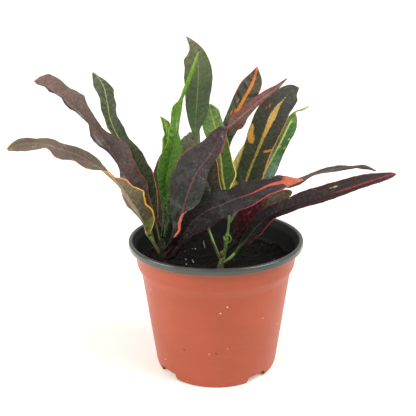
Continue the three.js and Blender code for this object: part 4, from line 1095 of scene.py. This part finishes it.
# Short dark red leaf behind the long one, olive and blunt at its end.
grow(
    "leaf_right_low", "leaf_dark",
    sections=[(8, -19, 113, 1.5, 1.5, 0), (14.1, -16, 116.2, 1.6, 1.6, 0), (18.5, -12, 122.1, 5, 6, 5),
        (23.8, -8, 129, 9, 10, 10), (30.8, -6, 136.6, 13.5, 12, 15), (37.8, -5, 143.6, 12.5, 10, 18),
        (44.7, -4, 149.1, 9.5, 6, 20), (51.6, -3, 153.3, 7.5, 4, 20), (58.6, -2, 157.1, 5.5, 4, 20),
        (63.8, -1, 159.5, 3.5, 3, 20), (66.4, -1, 160.8, 1, 1, 20)],
    waves=2,
    upper={0: "#2c391f", 0.2: "#220f12", 0.45: "#49121a", 0.62: "#46151c", 0.75: "#645243", 1: "#5a4f3a"},
    under={0: "#3a2a20", 1: "#5a3a34"},
    rib=({0.1: "#3a1c20", 0.6: "#5a2a30", 1: "#6a5a44"}, {0.1: 0.5, 1: 0.3}),
    keel=("#6a4440", {0: 1.1, 1: 0.4}),
    left=({0.1: "#3a1c20", 0.7: "#6a3034", 1: "#6a5a44"}, {0.1: 0.2, 1: 0.3}),
    right=({0.1: "#5a2028", 0.7: "#7a2c34", 1: "#6a5a44"}, {0.1: 0.3, 1: 0.3}),
    blotches=[(0.5, -5.5, 2.6, 0.4, "#8a4650"), (0.6, -4.2, 1.8, 0.3, "#84444e"),
        (0.8, -2.5, 4, 0.9, "#686a5c")],
    specular=0.1, mottle=1.5,
)

# Upright dark leaf with a thick orange rib and small orange flecks. Its lower half is olive-brown.
grow(
    "leaf_orange_rib", "leaf_variegated",
    sections=[(5, -21, 104, 1.2, 1.2), (0, -17, 114, 1, 1), (-6, -8, 129, 1.1, 1.1), (-7, -1, 143, 3, 3),
        (-5, 5, 157, 12.5, 10), (-2, 11, 172, 12.5, 9.5), (3, 16, 188, 10.5, 7.5), (10, 20, 205, 8.5, 5.5),
        (17, 24, 222, 8, 9), (24, 27, 235, 9.5, 9), (30, 30, 245, 10, 9), (34, 33, 253, 7.5, 7.5),
        (37, 36, 264, 0.5, 0.5)],
    ripple=0.8,
    upper={0: "#82b658", 0.2: "#77a74d", 0.27: "#435326", 0.32: "#2e2e1b", 0.45: "#5e5840", 0.6: "#656952",
        0.8: "#656952", 1: "#685b49"},
    under={0: "#8aba5e", 0.22: "#7aa052", 0.3: "#4a4430", 1: "#7a6048"},
    rib=({0.3: "#5a4a34", 0.66: "#5c4632", 0.71: "#e8902c", 0.9: "#f09238", 1: "#e86a40"},
        {0.3: 0.5, 0.6: 0.9, 0.75: 1.4, 0.92: 1.3, 1: 0.8}),
    keel=("#a87a50", {0: 0, 0.26: 0.1, 0.36: 1, 1: 0.4}),
    left=({0.5: "#4a3a2c", 0.78: "#7a4a3c", 0.86: "#c85044", 0.95: "#8a4a3c"},
        {0.5: 0.2, 0.78: 0.3, 0.87: 0.7}),
    right=({0.5: "#5a3a2c", 0.85: "#a04a3c", 0.93: "#c85c44", 1: "#c85c44"}, {0.5: 0.3, 0.92: 0.6, 1: 0.5}),
    blotches=[(0.81, -4.2, 2.4, 0.8, "#d87a3e"), (0.745, -4.4, 2.6, 0.9, "#dd8040"),
        (0.76, -1.6, 1.8, 1.6, "#e08a48")],
    patch=("#2a2c22", 0.75), mottle=1.4, rib_glow=0.74,
)

# Green leaf with a yellow rib, an orange left edge low down and a bright yellow right margin.
grow(
    "leaf_green", "leaf_green",
    sections=[(12, -9, 152, 1.4, 1.4, 0), (9, -8, 159, 1.5, 1.5, 0), (8, -5, 165, 3.5, 6, 0),
        (6, -2, 174, 3.5, 12, -15), (5, 1, 186, 4.5, 10.5, -18), (3, 4, 199, 7, 9, -10),
        (1, 8, 211, 10, 8, 0), (-2, 11, 222, 10, 7.5, 0), (-4, 13, 229, 6.5, 7, 0),
        (-5, 14, 235, 1.5, 1.5, 0)],
    ripple=1.2,
    upper={0: "#44681c", 0.2: "#38561a", 0.45: "#47651a", 0.7: "#648c3c", 1: "#a5ca7c"},
    under={0: "#5a7a34", 1: "#8aa060"},
    rib=({0: "#b0ae50", 0.5: "#b4ac4c", 1: "#d8d470"}, {0: 0.8, 0.6: 0.7, 1: 0.6}),
    keel=("#c0c070", {0: 0.9, 1: 0.4}),
    left=({0.1: "#c88a3a", 0.5: "#c0763c", 0.62: "#6a7a40", 0.9: "#e09a4a", 1: "#f0963c"},
        {0.1: 0.9, 0.5: 0.7, 0.65: 0.3, 1: 0.8}),
    right=({0.1: "#d8b040", 0.2: "#ecd858", 0.5: "#d0c850", 0.65: "#8a9a4a", 1: "#8a9a5c"},
        {0.05: 1.6, 0.2: 1.1, 0.5: 0.8, 0.7: 0.3}),
    blotches=[(0.16, 6.5, 4, 1.8, "#b8963c"), (0.62, 6.4, 2, 0.8, "#3a5a2a")],
    patch=("#52702c", 0.5), mottle=1.2, glow=0.85,
)

# Broad dark leaf with a gold stripe along its rib, gold blotches, and an orange-pink right margin. It greys
# towards its tip: partly its own colour, partly a painted highlight.
grow(
    "leaf_gold_stripe", "leaf_variegated",
    sections=[(12, -9, 150.5, 1.4, 1.4), (18, -6, 154, 1.5, 1.5), (23, -3, 160, 7, 8), (27, 2, 171, 11, 13),
        (31, 5, 182, 12, 13), (37, 8, 196, 13.5, 12), (43, 11, 210, 15, 12.5), (49, 14, 223, 15.5, 13),
        (54, 16, 232, 14, 12), (60, 18, 239, 11, 11), (66, 20, 245, 6, 8), (72, 22, 247, 0.8, 0.8)],
    fold=8,
    # Upper: the grey towards the tip is partly own colour, partly a painted highlight.
    upper={0: "#324317", 0.2: "#283412", 0.4: "#2f3717", 0.6: "#373c25", 0.8: "#45433b", 1: "#61605c"},
    under={0: "#4a5a30", 1: "#6a6450"},
    rib=({0: "#8a9040", 0.3: "#a0903a", 0.5: "#b08c3c", 0.7: "#e0b460", 0.87: "#cda860", 0.92: "#6a6a4c"},
        {0: 0.7, 0.2: 0.9, 0.42: 1.1, 0.55: 1.3, 0.64: 2, 0.72: 2.9, 0.78: 1.9, 0.86: 0.2, 1: 0.1}),
    keel=("#b89a5c", {0: 1.1, 1: 0.4}),
    left=({0: "#8a7a34", 0.35: "#b08a3c", 0.5: "#a8702c", 0.58: "#4a4028", 0.75: "#a04a38", 1: "#5a5048"},
        {0: 0.8, 0.35: 1, 0.5: 0.7, 0.58: 0.3, 0.72: 0.6, 0.85: 0.2}),
    right=({0: "#c0803c", 0.3: "#d88a4c", 0.5: "#e08262", 0.75: "#d86a4e", 0.84: "#6a4a3c"},
        {0: 1.2, 0.4: 1.1, 0.7: 0.8, 0.85: 0.2}),
    blotches=[(0.555, -12.5, 6.6, 3.2, "#d8a044"), (0.53, -11, 4.5, 4.6, "#cf9640"),
        (0.482, 8.6, 1.3, 3, "#d88a48"), (0.47, 6, 1.2, 1.2, "#d88a48"), (0.773, -6.8, 1.5, 1, "#c8683c"),
        (0.75, -8.6, 0.9, 0.8, "#a86040"), (0.17, -8, 3.5, 2.6, "#a08a30")],
    patch=("#4c5036", 0.45), fray=1.3, vein=("#6a6a48", 0.12), mottle=1.2,
)

# Green leaf behind it with a yellow rib, yellow dots, a teal highlight painted low down and a thread-like
# tail.
grow(
    "leaf_spotted", "leaf_green",
    sections=[(12, -11, 144, 1.4, 1.4), (20, -2, 151, 1.4, 1.4), (31, 9, 161, 4, 4), (42, 18, 170, 8, 8.5),
        (48, 25, 179, 9, 9.5), (54, 29, 189, 9, 7.5), (60, 32, 200, 8, 7), (65, 35, 210, 6.5, 8),
        (69, 37, 218, 4, 5.5), (72, 38, 224, 1, 1), (78, 38, 226, 0.9, 0.9), (84, 38, 229, 0.8, 0.8)],
    fold=8,
    # Upper: the teal from 0.4 to 0.52 is a painted highlight.
    upper={0: "#5c7c42", 0.4: "#5e7c64", 0.52: "#7ca27a", 0.6: "#59824b", 0.8: "#5c9651", 0.88: "#99c156",
        0.92: "#e3df65", 1: "#f1ec6f"},
    under={0: "#5a7a44", 0.88: "#7a9a5a", 1: "#c8c86a"},
    rib=({0.3: "#6a8a50", 0.5: "#a8b44c", 0.82: "#dce47a", 0.86: "#6a9a50", 1: "#d8dc80"},
        {0.3: 0.3, 0.5: 0.7, 0.82: 0.7, 0.86: 0.1, 1: 0.5}),
    keel=("#b8c070", {0: 1, 1: 0.4}),
    left=({0.3: "#4a6a44", 0.9: "#7a8a4c"}, {0.3: 0.2, 1: 0.2}),
    right=({0.3: "#4a6a44", 0.9: "#6a8a4c"}, {0.3: 0.2, 1: 0.2}),
    blotches=[(0.706, 5.2, 1.1, 1, "#dccb5a"), (0.639, 5.2, 1.1, 1.1, "#c8c458"),
        (0.63, 0.9, 1.6, 1.3, "#d4cf5c"), (0.824, 1, 1.3, 1, "#e4e27a")],
    patch=("#3c6434", 0.5), mottle=1.4, rib_glow=0.85, dust=0.3,
)

# Narrow yellow-green leaf seen as a sliver behind the others. Its pale colours, full depth and full margin
# glow are partly its own colour and partly painted light shining through it.
grow(
    "leaf_back_narrow", "leaf_green",
    sections=[(12, -10, 147, 1.3, 1.3), (12, -3, 152, 1.3, 1.3), (14, 8, 162, 4, 4), (20, 17, 176, 7, 6),
        (28, 25, 191, 6, 6.5), (38, 30, 206, 4, 6), (45, 33, 219, 2.5, 4), (50, 35, 228, 0.5, 0.5)],
    upper={0: "#a0b850", 0.25: "#e0e080", 0.7: "#e8e08c", 1: "#c0b878"},
    under={0: "#6a8a44", 1: "#c0c070"},
    rib=({0: "#b0b050", 1: "#d8d478"}, {0: 0.7, 1: 0.4}),
    keel=("#c8c878", {0: 0.9, 1: 0.4}),
    left=({0: "#c8cc70", 0.6: "#d8d480", 1: "#d8d480"}, {0: 0.5, 1: 0.6}),
    right=({0: "#b08a4c", 1: "#c8a868"}, {0: 0.4, 1: 0.5}),
    # Full depth and glow: painted light shining through the leaf.
    depth=1, glow=1,
)


# Studio. A plain white floor, soft light from both sides, and the camera where the photograph was taken.
FLOOR_HALF = 6
FLOOR_PLACE = (0, 4, -0.0001)
PAPER_GLOW = 0.12
SKY = 0.6
SKY_SEEN = 1.1
sheet = bmesh.new()
bmesh.ops.create_grid(sheet, x_segments=1, y_segments=1, size=FLOOR_HALF)
bmesh.ops.translate(sheet, verts=sheet.verts, vec=FLOOR_PLACE)
floor = finished("floor", sheet)
paper, tree, shader = surface("white_floor", 0.9, specular=0.1)
tone = blend(tree, grain(tree, 3), "#fffdf6", "#fdf9f0")
tree.links.new(tone, shader["Base Color"])
tree.links.new(tone, shader["Emission Color"])
shader["Emission Strength"].default_value = PAPER_GLOW
floor.data.materials.append(paper)

world = bpy.data.worlds.new("studio")
world.use_nodes = True
sky = world.node_tree
seen = put(sky, "ShaderNodeLightPath").outputs["Is Camera Ray"]
backdrop = sky.nodes["Background"]
backdrop.inputs["Color"].default_value = (1, 1, 1, 1)
sky.links.new(calc(sky, "MULTIPLY_ADD", seen, SKY_SEEN - SKY, SKY), backdrop.inputs["Strength"])
bpy.context.scene.world = world
bpy.context.scene.view_settings.view_transform = "Standard"

LIT_POINT = Vector((0, 0, 0.14))
SUN_SPREAD = math.radians(42)
LIGHTS = {
    "window": ("SUN", 2.5, (1.1, -0.3, 1.3), None),
    "softbox": ("AREA", 10, (-1.15, -0.3, 0.7), (0.8, 0.6)),
    "lamp": ("AREA", 4.0, (-0.6, -0.9, 1.1), (0.26, 0.1)),
}
for name, (kind, energy, place, size) in LIGHTS.items():
    light = bpy.data.lights.new(name, kind)
    light.energy = energy
    if size:
        light.shape = "RECTANGLE"
        light.size, light.size_y = size
    else:
        light.angle = SUN_SPREAD
    stand = in_scene(name, light)
    stand.location = place
    stand.rotation_euler = (LIT_POINT - stand.location).to_track_quat("-Z", "Y").to_euler()

CAMERA_PLACE = (0, -0.514712, 0.306195)
PITCH = 0.302
YAW = -0.013
ROLL = -0.008
FRAME = 416
FOCAL = 613.7
SENSOR_WIDTH = 36
looks_at = Vector((math.sin(YAW) * math.cos(PITCH), math.cos(YAW) * math.cos(PITCH), -math.sin(PITCH)))
level = looks_at.cross(Vector((0, 0, 1))).normalized()
over = level.cross(looks_at)
right_way = level * math.cos(ROLL) + over * math.sin(ROLL)
up_way = over * math.cos(ROLL) - level * math.sin(ROLL)
camera = in_scene("camera", bpy.data.cameras.new("camera"))
turned_to = Matrix((right_way, up_way, -looks_at)).transposed()
camera.matrix_world = Matrix.Translation(CAMERA_PLACE) @ turned_to.to_4x4()
camera.data.sensor_width = SENSOR_WIDTH
camera.data.lens = SENSOR_WIDTH * FOCAL / FRAME
camera.data.clip_end = 30
bpy.context.scene.camera = camera
